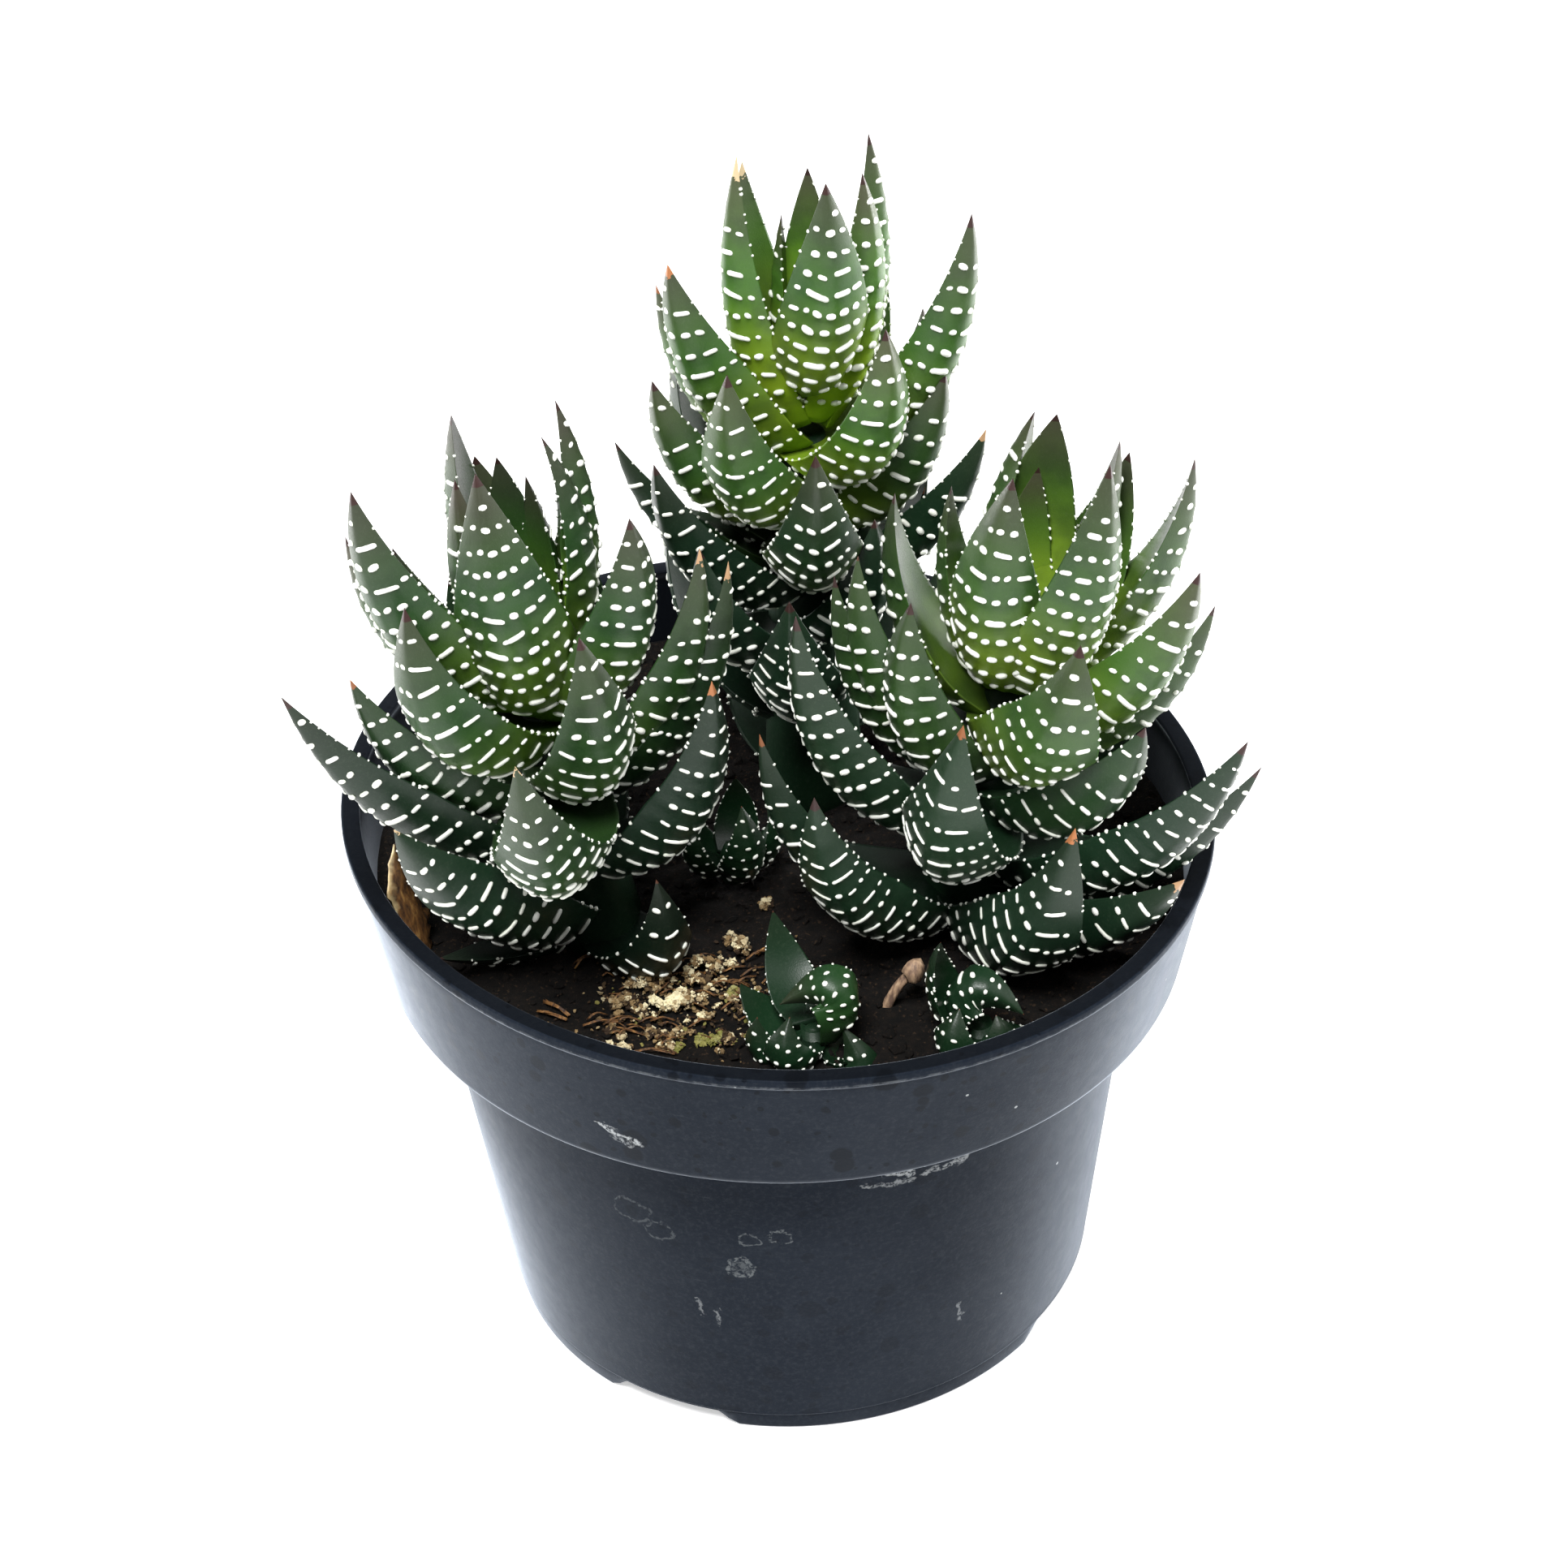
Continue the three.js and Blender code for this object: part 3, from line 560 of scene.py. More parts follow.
def add_pearls(parts, leaf, surface, rng, size, gap, dash_share):
    """Rows of raised pearls and dashes on the back or the face of a leaf."""
    x_table = np.linspace(-1, 1, 81)
    for row, t0 in enumerate(leaf.rows):
        section = surface(leaf.row_place(t0, x_table), x_table)
        steps = np.linalg.norm(np.diff(section, axis=0), axis=1)
        arc = np.concatenate([[0], np.cumsum(steps)])
        arc -= arc[-1] / 2
        near = surface(np.array([t0 - 0.01, t0 + 0.01]), np.zeros(2))
        per_share = np.linalg.norm(near[1] - near[0]) / 0.02
        for centre, half, radius in row_marks(arc[-1], t0, leaf.age, rng, size, gap, dash_share):
            straight = half - radius
            spans = min(MOST_SPANS, int(math.ceil(straight / SPAN_LENGTH)))
            template = np.array(pearl_template(spans))
            along_row = centre + template[:, 0] * straight + template[:, 1] * radius
            width = template[:, 2]
            across = len(CROSS_STEPS)
            s = np.concatenate([along_row[:1], np.repeat(along_row[1:-1], across), along_row[-1:]])
            v = np.concatenate([[0], np.tile(CROSS_STEPS, len(template) - 2), [0]])
            w = np.concatenate([[0], np.repeat(width[1:-1], across), [0]])
            shift = rng.normal(0, ROW_SCATTER) + ROW_WAVE * math.sin(1.3 * centre + row)
            slant = rng.normal(0, ROW_SCATTER) * (s - centre)
            x = np.interp(s, arc, x_table)
            t = leaf.row_place(t0, x) + (shift + slant + v * w * radius) / per_share
            height = PEARL_HEIGHT * radius / PEARL_RADIUS * w * np.sqrt(np.clip(1 - v ** 2, 0, 1))
            lift = height - EMBED
            vertices = surface(t, x) + leaf.normal(surface, t, x) * lift[:, None]
            parts.add(
                vertices, PEARL_FACES[spans],
                along=t0, vary=rng.random(), age=leaf.age, height=height / PEARL_HEIGHT,
            )


TOOTH_SIDES = 6
TOOTH_RADIUS = 0.28
TOOTH_SINK = 0.12
TOOTH_AHEAD = 0.35
TOOTH_BACK = 0.25
TOOTH_SCATTER = 0.35


def tooth_faces():
    """A small cone of two rings and a tip, closed at its foot."""
    faces = grid_faces(2, TOOTH_SIDES, closed=True)
    tip = 2 * TOOTH_SIDES
    for j in range(TOOTH_SIDES):
        faces.append([TOOTH_SIDES + j, TOOTH_SIDES + (j + 1) % TOOTH_SIDES, tip])
    faces.append(list(range(TOOTH_SIDES - 1, -1, -1)))
    return faces


TOOTH_FACES = tooth_faces()


def add_teeth(parts, leaf, rng, size):
    """Small pale teeth along both edges of a leaf, most of them at the ends of the rows."""
    between = leaf.rows[:-1] + np.diff(leaf.rows) * 0.5
    for edge in (-1, 1):
        places = np.concatenate([leaf.rows, between])
        places = places + rng.normal(0, TOOTH_SCATTER, len(places)) / leaf.length
        places = places[rng.random(len(places)) < TOOTH_SHARE]
        centre, across, back = leaf.skeleton(places)
        half = leaf.width * leaf_width(places) / 2
        ahead = leaf.skeleton(places + 0.01)[0] - centre
        ahead /= np.linalg.norm(ahead, axis=1, keepdims=True)
        for k, place in enumerate(places):
            out = unit(across[k] * edge + TOOTH_AHEAD * ahead[k] + TOOTH_BACK * back[k])
            root = centre[k] + across[k] * edge * (half[k] - TOOTH_SINK)
            reach = TOOTH_LENGTH * size * rng.uniform(0.6, 1.3) * (1 - 0.35 * place)
            thick = TOOTH_RADIUS * size * rng.uniform(0.7, 1.3) * (1 - 0.3 * place)
            u = unit(np.cross(out, back[k]))
            v = np.cross(out, u)
            turn = turns(TOOTH_SIDES)
            ring = np.cos(turn)[:, None] * u + np.sin(turn)[:, None] * v
            vertices = np.concatenate([
                root + ring * thick,
                root + ring * thick * 0.75 + out * reach * 0.6,
                [root + out * reach],
            ])
            parts.add(vertices, TOOTH_FACES, along=place, vary=rng.random(), age=leaf.age, height=0.25)


def add_core(parts, plant, radius, top_radius):
    """The stem and core that the leaves stand on."""
    axis = unit(np.array([plant["lean"], 0, 1.0]))
    base = np.array([*plant["base"], STEM_BASE], float)
    top = plant["stem_top"]
    heights = (-STEM_DEPTH, CORE_FOOT_HEIGHT, top * CORE_MIDDLE_SHARE, top * CORE_SHARE)
    radii = (radius * CORE_END_TAPER, radius, (radius + top_radius) / 2, top_radius * CORE_END_TAPER)
    ring = ring_at(1, 0, CORE_SIDES)
    vertices = [base + axis * h + ring * r for h, r in zip(heights, radii)]
    parts.add(
        np.concatenate(vertices), tube_faces(len(heights), CORE_SIDES),
        along=0.0, across=0.0, inner_face=0.0, age=CORE_AGE, shade=CORE_SHADE,
        tip_reach=0.02, tip_dryness=0.0,
    )


def spiral_leaves(rule):
    """Leaves on the far side of a rosette follow the plant's own spiral down the stem."""
    rows = []
    for i in range(rule["count"]):
        azimuth = (rule["first"] + GOLDEN_ANGLE * i) % 360
        if rule["from"] <= azimuth <= rule["to"]:
            age = i / rule["count"]
            height = rule["top"] - rule["drop"] * i
            limits = (SPIRAL_REACH, SPIRAL_RISE, SPIRAL_BELLY, SPIRAL_WIDTH)
            reach, rise, belly, width = [low + (high - low) * age for low, high in limits]
            rows.append((azimuth, height, reach, rise, belly, width, 0, "dark"))
    return rows


def make_plant(plant, skins, pearls, skin, pearl):
    """Makes the two pieces of a plant: its leaves, and the pale marks on them."""
    body = skins.make(plant["name"] + "_leaves", skin)
    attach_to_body(body, "root")
    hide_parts(plant["name"])
    marks = pearls.make(plant["name"] + "_pearls", pearl)
    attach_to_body(marks, "root")


def build_rosette(plant, skin, pearl):
    rng = np.random.default_rng(SEED + len(plant["leaves"]))
    leaves = plant["leaves"] + spiral_leaves(plant["spiral"])
    skins = MeshParts()
    pearls = MeshParts()
    add_core(skins, plant, CORE_RADIUS, CORE_TOP_RADIUS)
    for row in leaves:
        stretch = rng.uniform(0.92, 1.08)
        leaf = Leaf(plant, row, (YOUNG_ROW_SPACING * stretch, OLD_ROW_SPACING * stretch))
        add_leaf_skin(skins, leaf, rng.random())
        dash_share = (0.35 + 0.5 * leaf.age) * rng.uniform(0.8, 1.2)
        size = PEARL_RADIUS * rng.uniform(0.86, 1.08)
        add_pearls(pearls, leaf, leaf.back_surface, rng, size, PEARL_GAP, dash_share)
        add_teeth(pearls, leaf, rng, 1.0)
    make_plant(plant, skins, pearls, skin, pearl)


def build_offset(plant, skin, pearl):
    rng = np.random.default_rng(SEED + round(10 * plant["base"][0] + 500))
    skins = MeshParts()
    pearls = MeshParts()
    add_core(skins, plant, OFFSET_CORE_RADIUS, OFFSET_CORE_TOP_RADIUS)
    for row in plant["leaves"]:
        leaf = Leaf(plant, row, (OFFSET_ROW_SPACING, OFFSET_ROW_SPACING))
        leaf.age = FRESH_AGE if leaf.tip == "fresh" else max(leaf.age, OFFSET_AGE)
        add_leaf_skin(skins, leaf, rng.random())
        surfaces = [leaf.back_surface]
        if leaf.end[0] < 0:
            surfaces.append(leaf.face_surface)
        for surface in surfaces:
            size = OFFSET_PEARL_RADIUS * rng.uniform(0.9, 1.1)
            add_pearls(pearls, leaf, surface, rng, size, OFFSET_PEARL_GAP, OFFSET_DASH_SHARE)
        add_teeth(pearls, leaf, rng, OFFSET_TOOTH_SIZE)
    make_plant(plant, skins, pearls, skin, pearl)


# Materials


class Shader:
    """Builds a material's nodes, with the texture coordinates of the object in millimetres."""

    def __init__(self, name):
        self.material = bpy.data.materials.new(name)
        self.material.use_nodes = True
        self.tree = self.material.node_tree
        self.surface = self.tree.nodes["Principled BSDF"]
        coordinates = self.tree.nodes.new("ShaderNodeTexCoord")
        scale = self.add("ShaderNodeVectorMath", {0: coordinates.outputs["Object"]}, operation="SCALE")
        scale.inputs["Scale"].default_value = 1000
        self.place = scale.outputs[0]

    def add(self, kind, inputs=None, **settings):
        node = self.tree.nodes.new(kind)
        for key, value in settings.items():
            setattr(node, key, value)
        for key, value in (inputs or {}).items():
            self.put(node.inputs[key], value)
        return node

    def put(self, socket, value):
        if isinstance(value, bpy.types.NodeSocket):
            self.tree.links.new(value, socket)
        else:
            socket.default_value = value

    def attribute(self, name):
        return self.add("ShaderNodeAttribute", attribute_name=name).outputs["Fac"]

    def math(self, operation, a, b=0.0, clamp=False):
        node = self.add("ShaderNodeMath", {0: a, 1: b}, operation=operation, use_clamp=clamp)
        return node.outputs[0]

    def times(self, a, b):
        return self.math("MULTIPLY", a, b)

    def plus(self, a, b):
        return self.math("ADD", a, b)

    def minus(self, a, b, clamp=False):
        return self.math("SUBTRACT", a, b, clamp)

    def wobble(self, scale, detail, amount):
        """Noise about zero."""
        return self.times(self.minus(self.noise(scale, detail), 0.5), amount)

    def noise(self, scale, detail=3.0, rough=0.5, stretch=None):
        vector = self.place
        if stretch:
            node = self.add("ShaderNodeVectorMath", {0: vector, 1: stretch}, operation="MULTIPLY")
            vector = node.outputs[0]
        inputs = {"Vector": vector, "Scale": scale, "Detail": detail, "Roughness": rough}
        return self.add("ShaderNodeTexNoise", inputs).outputs["Fac"]

    def ramp(self, value, low, high, to_low=0.0, to_high=1.0):
        inputs = {"Value": value, "From Min": low, "From Max": high, "To Min": to_low, "To Max": to_high}
        node = self.add("ShaderNodeMapRange", inputs, interpolation_type="SMOOTHSTEP")
        return node.outputs["Result"]

    def mix(self, share, a, b, blend="MIX"):
        node = self.add("ShaderNodeMix", data_type="RGBA", blend_type=blend)
        self.put(node.inputs["Factor"], share)
        self.put(node.inputs["A"], a if isinstance(a, bpy.types.NodeSocket) else (*a, 1))
        self.put(node.inputs["B"], b if isinstance(b, bpy.types.NodeSocket) else (*b, 1))
        return node.outputs["Result"]

    def bump(self, height, strength, distance, before=None):
        inputs = {"Height": height, "Strength": strength, "Distance": distance * MM}
        node = self.add("ShaderNodeBump", inputs)
        if before is not None:
            self.put(node.inputs["Normal"], before)
        return node.outputs["Normal"]

    def finish(self, color, roughness, normal=None, **values):
        if isinstance(color, tuple):
            color = (*color, 1)
        self.put(self.surface.inputs["Base Color"], color)
        self.put(self.surface.inputs["Roughness"], roughness)
        if normal is not None:
            self.put(self.surface.inputs["Normal"], normal)
        for name, value in values.items():
            self.put(self.surface.inputs[name.replace("_", " ")], value)
        return self.material


# Each leaf skin: its fresh, green and deep colours, and the ages between which green turns deep
LEAF_SKINS = {
    "leaf_back": ((0.33, 0.49, 0.018), (0.056, 0.155, 0.016), (0.006, 0.024, 0.011), (0.06, 0.42)),
    # leaf_left is darker than the other skins: painted shade on the left rosette.
    "leaf_left": ((0.15, 0.27, 0.011), (0.024, 0.074, 0.012), (0.003, 0.012, 0.006), (0.1, 0.7)),
    "leaf_right": ((0.28, 0.42, 0.017), (0.05, 0.122, 0.017), (0.007, 0.024, 0.011), (0.1, 0.7)),
    "leaf_offset": ((0.03, 0.09, 0.013), (0.015, 0.055, 0.01), (0.0035, 0.018, 0.006), (0.1, 0.7)),
}


def leaf_material(name):
    """Leaf skin: fresh at the base of young leaves, deep on old ones, dusky towards the tip, with painted
    shadow at the base of older leaves.
    """
    fresh, green, deep, deep_ages = LEAF_SKINS[name]
    s = Shader(name)
    along = s.attribute("along")
    age = s.attribute("age")
    shade = s.attribute("shade")
    patches = s.noise(0.22, 4)
    young = s.minus(1.0, s.ramp(age, 0.0, 0.48), clamp=True)
    base_glow = s.minus(1.0, s.ramp(along, 0.1, 0.62), clamp=True)
    color = s.mix(s.ramp(age, *deep_ages), green, deep)
    on_face = s.attribute("inner_face")
    glow = s.times(base_glow, s.ramp(on_face, 0.0, 1.0, 1.0, 0.45))
    color = s.mix(s.times(glow, young), color, fresh)
    inner = s.times(s.ramp(along, 0.25, 0.75, 0.3, 0.05), young)
    color = s.mix(s.times(on_face, inner), color, fresh)
    # Painted shadow: the lower part of older leaves, and the core, darkened towards near-black where the
    # leaves crowd together.
    shadow = s.times(s.ramp(along, 0.02, 0.42, 0.8, 0.0), s.ramp(age, 0.1, 0.42))
    color = s.mix(shadow, color, (0.001, 0.004, 0.002))
    color = s.mix(s.ramp(patches, 0.4, 0.7, 0.0, 0.4), color, deep)
    dusk = s.times(s.ramp(along, 0.58, 1.0), s.ramp(age, 0.0, 0.6, 0.85, 0.12))
    color = s.mix(dusk, color, (0.068, 0.05, 0.042))
    color = s.mix(s.ramp(shade, 0.0, 1.0, 0.0, 0.45), color, (0.01, 0.034, 0.014))
    bloom = s.times(s.ramp(s.noise(2.4, 5, 0.7), 0.5, 0.75), 0.04)
    color = s.mix(bloom, color, (0.28, 0.36, 0.24))
    start = s.minus(1.0, s.attribute("tip_reach"))
    ragged = s.wobble(1.1, 4, 0.12)
    dryness = s.attribute("tip_dryness")
    dry = s.math("GREATER_THAN", s.plus(along, s.times(ragged, dryness)), start)
    tip = s.mix(s.ramp(dryness, 0.0, 0.6), (0.036, 0.016, 0.014), (0.36, 0.13, 0.045))
    tip = s.mix(s.ramp(dryness, 0.6, 1.0), tip, (0.55, 0.42, 0.25))
    color = s.mix(dry, color, tip)
    fine = s.noise(5.5, 3)
    normal = s.bump(fine, 0.3, 0.07)
    roughness = s.ramp(fine, 0.3, 0.7, 0.32, 0.46)
    return s.finish(color, roughness, normal, Specular_IOR_Level=0.32)


def pearl_material():
    s = Shader("pearl")
    vary = s.attribute("vary")
    color = s.mix(vary, (0.84, 0.86, 0.76), (0.95, 0.96, 0.9))
    wear_and_highlight_noise = s.ramp(s.noise(2.5, 4), 0.55, 0.8, 0.0, 0.4)
    color = s.mix(wear_and_highlight_noise, color, (0.5, 0.58, 0.42))
    foot = s.ramp(s.attribute("height"), 0.0, 0.35, 1.0, 0.0)
    color = s.mix(s.times(foot, 0.35), color, (0.25, 0.36, 0.2))
    normal = s.bump(s.noise(6, 3), 0.3, 0.06)
    return s.finish(color, 0.42, normal)


# Dried drops on the front of the pot: place across, height, radius, width of the ring and
# strength. A width of 0 fills the drop.
POT_DROPS = (
    (-9.0, 32.5, 1.4, 0.0, 0.3),
    (-9.0, 32.5, 1.6, 0.35, 0.5),
    (-4.0, 38.6, 1.3, 0.3, 0.45),
    (-7.6, 37.7, 1.1, 0.25, 0.35),
    (-21.9, 39.5, 2.0, 0.3, 0.25),
    (-18.6, 37.0, 1.6, 0.25, 0.25),
)
# Scrapes there: place across and height of both ends, width, strength
POT_SCRAPES = (
    (-25.1, 61.2, -20.0, 59.3, 0.6, 0.8),
    (-23.5, 59.6, -21.0, 58.6, 0.5, 0.5),
    (5.0, 50.0, 11.5, 49.3, 0.8, 0.55),
    (9.5, 48.9, 12.5, 47.9, 0.9, 0.65),
    (7.0, 47.2, 13.0, 46.4, 0.6, 0.4),
    (14.5, 47.0, 19.5, 47.4, 0.8, 0.5),
    (-14.7, 25.4, -14.2, 21.5, 0.4, 0.3),
    (-12.3, 23.4, -12.1, 20.6, 0.35, 0.3),
    (18.5, 18.6, 18.9, 15.0, 0.4, 0.3),
)
MINERAL = (0.17, 0.185, 0.19)


def drop_mask(s, across, height, drop):
    x, z, radius, width, strength = drop
    away = s.math("POWER", s.minus(across, x), 2.0)
    rise = s.math("POWER", s.minus(height, z), 2.0)
    distance = s.math("SQRT", s.plus(away, rise))
    if width == 0:
        return s.ramp(distance, radius * 0.7, radius, strength, 0.0)
    off_ring = s.math("ABSOLUTE", s.minus(distance, radius))
    return s.ramp(off_ring, width * 0.4, width, strength, 0.0)


def scrape_mask(s, across, height, scrape):
    x0, z0, x1, z1, width, strength = scrape
    length = math.hypot(x1 - x0, z1 - z0)
    ux, uz = (x1 - x0) / length, (z1 - z0) / length
    x = s.minus(across, x0)
    z = s.minus(height, z0)
    along = s.plus(s.times(x, ux), s.times(z, uz))
    aside = s.minus(s.times(x, uz), s.times(z, ux))
    past = s.minus(s.math("ABSOLUTE", s.minus(along, length / 2)), length / 2)
    distance = s.plus(s.math("ABSOLUTE", aside), s.math("MAXIMUM", past, 0.0))
    return s.ramp(distance, width * 0.4, width, strength, 0.0)


def pot_material():
    """Satin charcoal plastic under a thin dusty film, with clean dried spots and mineral marks, painted
    highlight lines at the rim's edge and the collar's foot, and painted shade inside and on the rim top.
    """
    s = Shader("pot_plastic")
    axes = s.add("ShaderNodeSeparateXYZ", {0: s.place})
    across, depth, height = axes.outputs
    inside = s.attribute("inside")
    tone = s.ramp(s.noise(0.05, 4), 0.35, 0.7)
    color = s.mix(tone, (0.0054, 0.0084, 0.0142), (0.0092, 0.0128, 0.0196))
    color = s.mix(s.ramp(s.noise(1.6, 4, 0.7), 0.42, 0.75, 0.0, 0.4), color, (0.026, 0.031, 0.038))
    on_collar = s.ramp(height, 53.0, 56.0, 0.4, 0.9)
    film = None
    for scale, reach in ((0.2, 0.36), (0.34, 0.33), (0.62, 0.3)):
        warp = s.add("ShaderNodeTexNoise", {"Vector": s.place, "Scale": 0.45, "Detail": 3.0})
        bent = s.add("ShaderNodeVectorMath", {0: s.place, 1: warp.outputs["Color"]}, operation="ADD")
        cells = s.add("ShaderNodeTexVoronoi", {"Vector": bent.outputs[0], "Scale": scale})
        cell = s.add("ShaderNodeSeparateColor", {0: cells.outputs["Color"]})
        radius = s.times(s.ramp(cell.outputs[0], 0.3, 1.0), reach)
        within = s.minus(radius, cells.outputs["Distance"])
        spot = s.times(s.ramp(within, 0.0, 0.07), on_collar)
        film = spot if film is None else s.math("MAXIMUM", film, spot)
    color = s.mix(s.times(film, 0.85), color, (0.003, 0.0042, 0.0065))
    scuff = s.ramp(s.noise(0.35, 5, 0.75, stretch=(0.5, 0.5, 3.0)), 0.62, 0.74, 0.0, 0.22)
    color = s.mix(scuff, color, (0.05, 0.058, 0.066))
    # Painted highlight: lighter lines along the rim's outer edge and the collar's foot, broken up by noise.
    wear_and_highlight_noise = s.ramp(s.noise(0.8, 5, 0.7), 0.4, 0.62, 0.1, 0.8)
    from_foot = s.math("ABSOLUTE", s.minus(height, COLLAR_FOOT_HEIGHT + 0.6))
    from_rim = s.math("ABSOLUTE", s.minus(height, POT_HEIGHT - 1.1))
    collar_foot_highlight = s.ramp(from_foot, 0.1, 0.3, 0.35, 0.0)
    rim_edge_highlight = s.ramp(from_rim, 0.1, 0.35, 0.7, 0.0)
    edges = s.times(s.math("MAXIMUM", collar_foot_highlight, rim_edge_highlight), wear_and_highlight_noise)
    color = s.mix(edges, color, (0.11, 0.12, 0.13))
    front = s.math("LESS_THAN", depth, 0.0)
    broken = s.times(front, s.ramp(s.noise(1.5, 4, 0.7), 0.4, 0.56))
    across = s.plus(across, s.wobble(0.7, 3, 2.4))
    height = s.plus(height, s.wobble(0.6, 3, 2.4))
    for drop in POT_DROPS:
        mask = s.times(drop_mask(s, across, height, drop), broken)
        color = s.mix(mask, color, MINERAL)
    for scrape in POT_SCRAPES:
        mask = s.times(scrape_mask(s, across, height, scrape), broken)
        color = s.mix(mask, color, (0.4, 0.42, 0.43))
    specks = s.add("ShaderNodeTexVoronoi", {"Vector": s.place, "Scale": 0.11})
    speck = s.times(s.math("LESS_THAN", specks.outputs["Distance"], 0.024), 0.7)
    color = s.mix(speck, color, (0.4, 0.42, 0.42))
    # Painted shade: the inner wall, the inner floor and the rim top darkened towards near-black.
    color = s.mix(s.times(inside, 0.92), color, (0.0025, 0.003, 0.004))
    satin = s.ramp(s.noise(0.5, 4), 0.3, 0.7, 0.4, 0.52)
    roughness = s.minus(satin, s.times(film, 0.08))
    normal = s.bump(s.noise(3.5, 4, 0.65), 0.25, 0.05)
    return s.finish(
        color, roughness, normal, Specular_IOR_Level=0.02,
        Sheen_Weight=0.76, Sheen_Roughness=0.27, Sheen_Tint=(0.8, 0.88, 1.0, 1.0))


def soil_material():
    s = Shader("soil")
    tone = s.ramp(s.noise(0.9, 6, 0.7), 0.35, 0.7)
    color = s.mix(tone, (0.0012, 0.001, 0.0008), (0.0065, 0.0042, 0.0028))
    color = s.mix(s.ramp(s.noise(1.9, 4), 0.6, 0.68, 0.0, 0.55), color, (0.05, 0.03, 0.017))
    normal = s.bump(s.noise(1.6, 6, 0.7), 0.9, 0.5)
    return s.finish(color, 0.9, normal, Specular_IOR_Level=0.2)


def crumb_material(name, dark, tan, cream, moss):
    s = Shader(name)
    vary = s.attribute("vary")
    color = s.mix(s.ramp(vary, 0.05, 0.35), dark, tan)
    color = s.mix(s.ramp(vary, 0.4, 0.85), color, cream)
    color = s.mix(s.times(s.attribute("mossy"), 0.8), color, moss)
    color = s.mix(s.ramp(s.noise(1.8, 5, 0.7), 0.5, 0.75, 0.0, 0.5), color, dark)
    normal = s.bump(s.noise(3.2, 5, 0.7), 0.8, 0.25)
    return s.finish(color, 0.85, normal, Specular_IOR_Level=0.25)


def dry_material(name, light, mid, dark):
    s = Shader(name)
    streaks = s.noise(0.5, 5, 0.6, stretch=(3.0, 3.0, 0.6))
    color = s.mix(s.ramp(streaks, 0.35, 0.6), dark, mid)
    color = s.mix(s.ramp(streaks, 0.55, 0.75), color, light)
    color = s.mix(s.ramp(s.noise(1.3, 4), 0.55, 0.75, 0.0, 0.6), color, dark)
    rolled = s.plus(s.attribute("edge"), s.wobble(0.8, 3, 0.5))
    color = s.mix(s.ramp(rolled, 0.5, 0.85), color, (0.72, 0.55, 0.28))
    normal = s.bump(streaks, 0.7, 0.4)
    return s.finish(color, 0.62, normal)


# The floor glows a little: painted light that keeps it white in the pot's shadow and lights the pot from
# below
FLOOR_GLOW = 0.5


def floor_material():
    s = Shader("studio_floor")
    return s.finish((0.93, 0.93, 0.93), 0.6, None, Specular_IOR_Level=0.2, Emission_Strength=FLOOR_GLOW)


# Pot


def rounded(outline, steps=5):
    """Rounds each corner of an outline of (radius, height, corner size) points."""
    points = []
    for i, (r, z, size) in enumerate(outline):
        corner = np.array([r, z], float)
        if size == 0 or i in (0, len(outline) - 1):
            points.append(corner)
            continue
        before = np.array(outline[i - 1][:2], float) - corner
        after = np.array(outline[i + 1][:2], float) - corner
        start = corner + unit(before) * min(size, 0.48 * np.linalg.norm(before))
        end = corner + unit(after) * min(size, 0.48 * np.linalg.norm(after))
        for k in range(steps + 1):
            t = k / steps
            points.append((1 - t) ** 2 * start + 2 * t * (1 - t) * corner + t ** 2 * end)
    return np.array(points)


def press_oval(points):
    """The thin pot is pressed slightly oval at its rim and stays round at its foot."""
    angle = np.arctan2(points[:, 1], points[:, 0])
    factor = 1 - RIM_OVAL * (points[:, 2] / POT_HEIGHT) ** 2 * np.sin(2 * angle)
    points[:, :2] *= factor[:, None]
    return points


def notch_depth(angle):
    """How far into a notch an angle round the foot lies, from 0 outside to 1 inside."""
    gaps = [abs((math.degrees(angle) - notch + 180) % 360 - 180) for notch in NOTCH_ANGLES]
    edge = (NOTCH_HALF_ANGLE - min(gaps)) / NOTCH_EDGE_ANGLE
    return min(1.0, max(0.0, edge))


def inside_shares(heights):
    """How far inside the pot each ring of its outline lies: 0 outside, 1 inside, less at the rim. The pot's
    material paints shade by it.
    """
    top = int(np.argmax(heights > POT_HEIGHT - 0.05))
    inside = np.where(np.arange(len(heights)) > top + 1, 1.0, 0.0)
    inside[heights < FLOOR_TOP + 0.01] = 1.0
    inside[(inside > 0) & (heights > POT_HEIGHT - 0.6)] = 0.8
    inside[heights < FLOOR_TOP - 0.01] = 0.0
    return inside


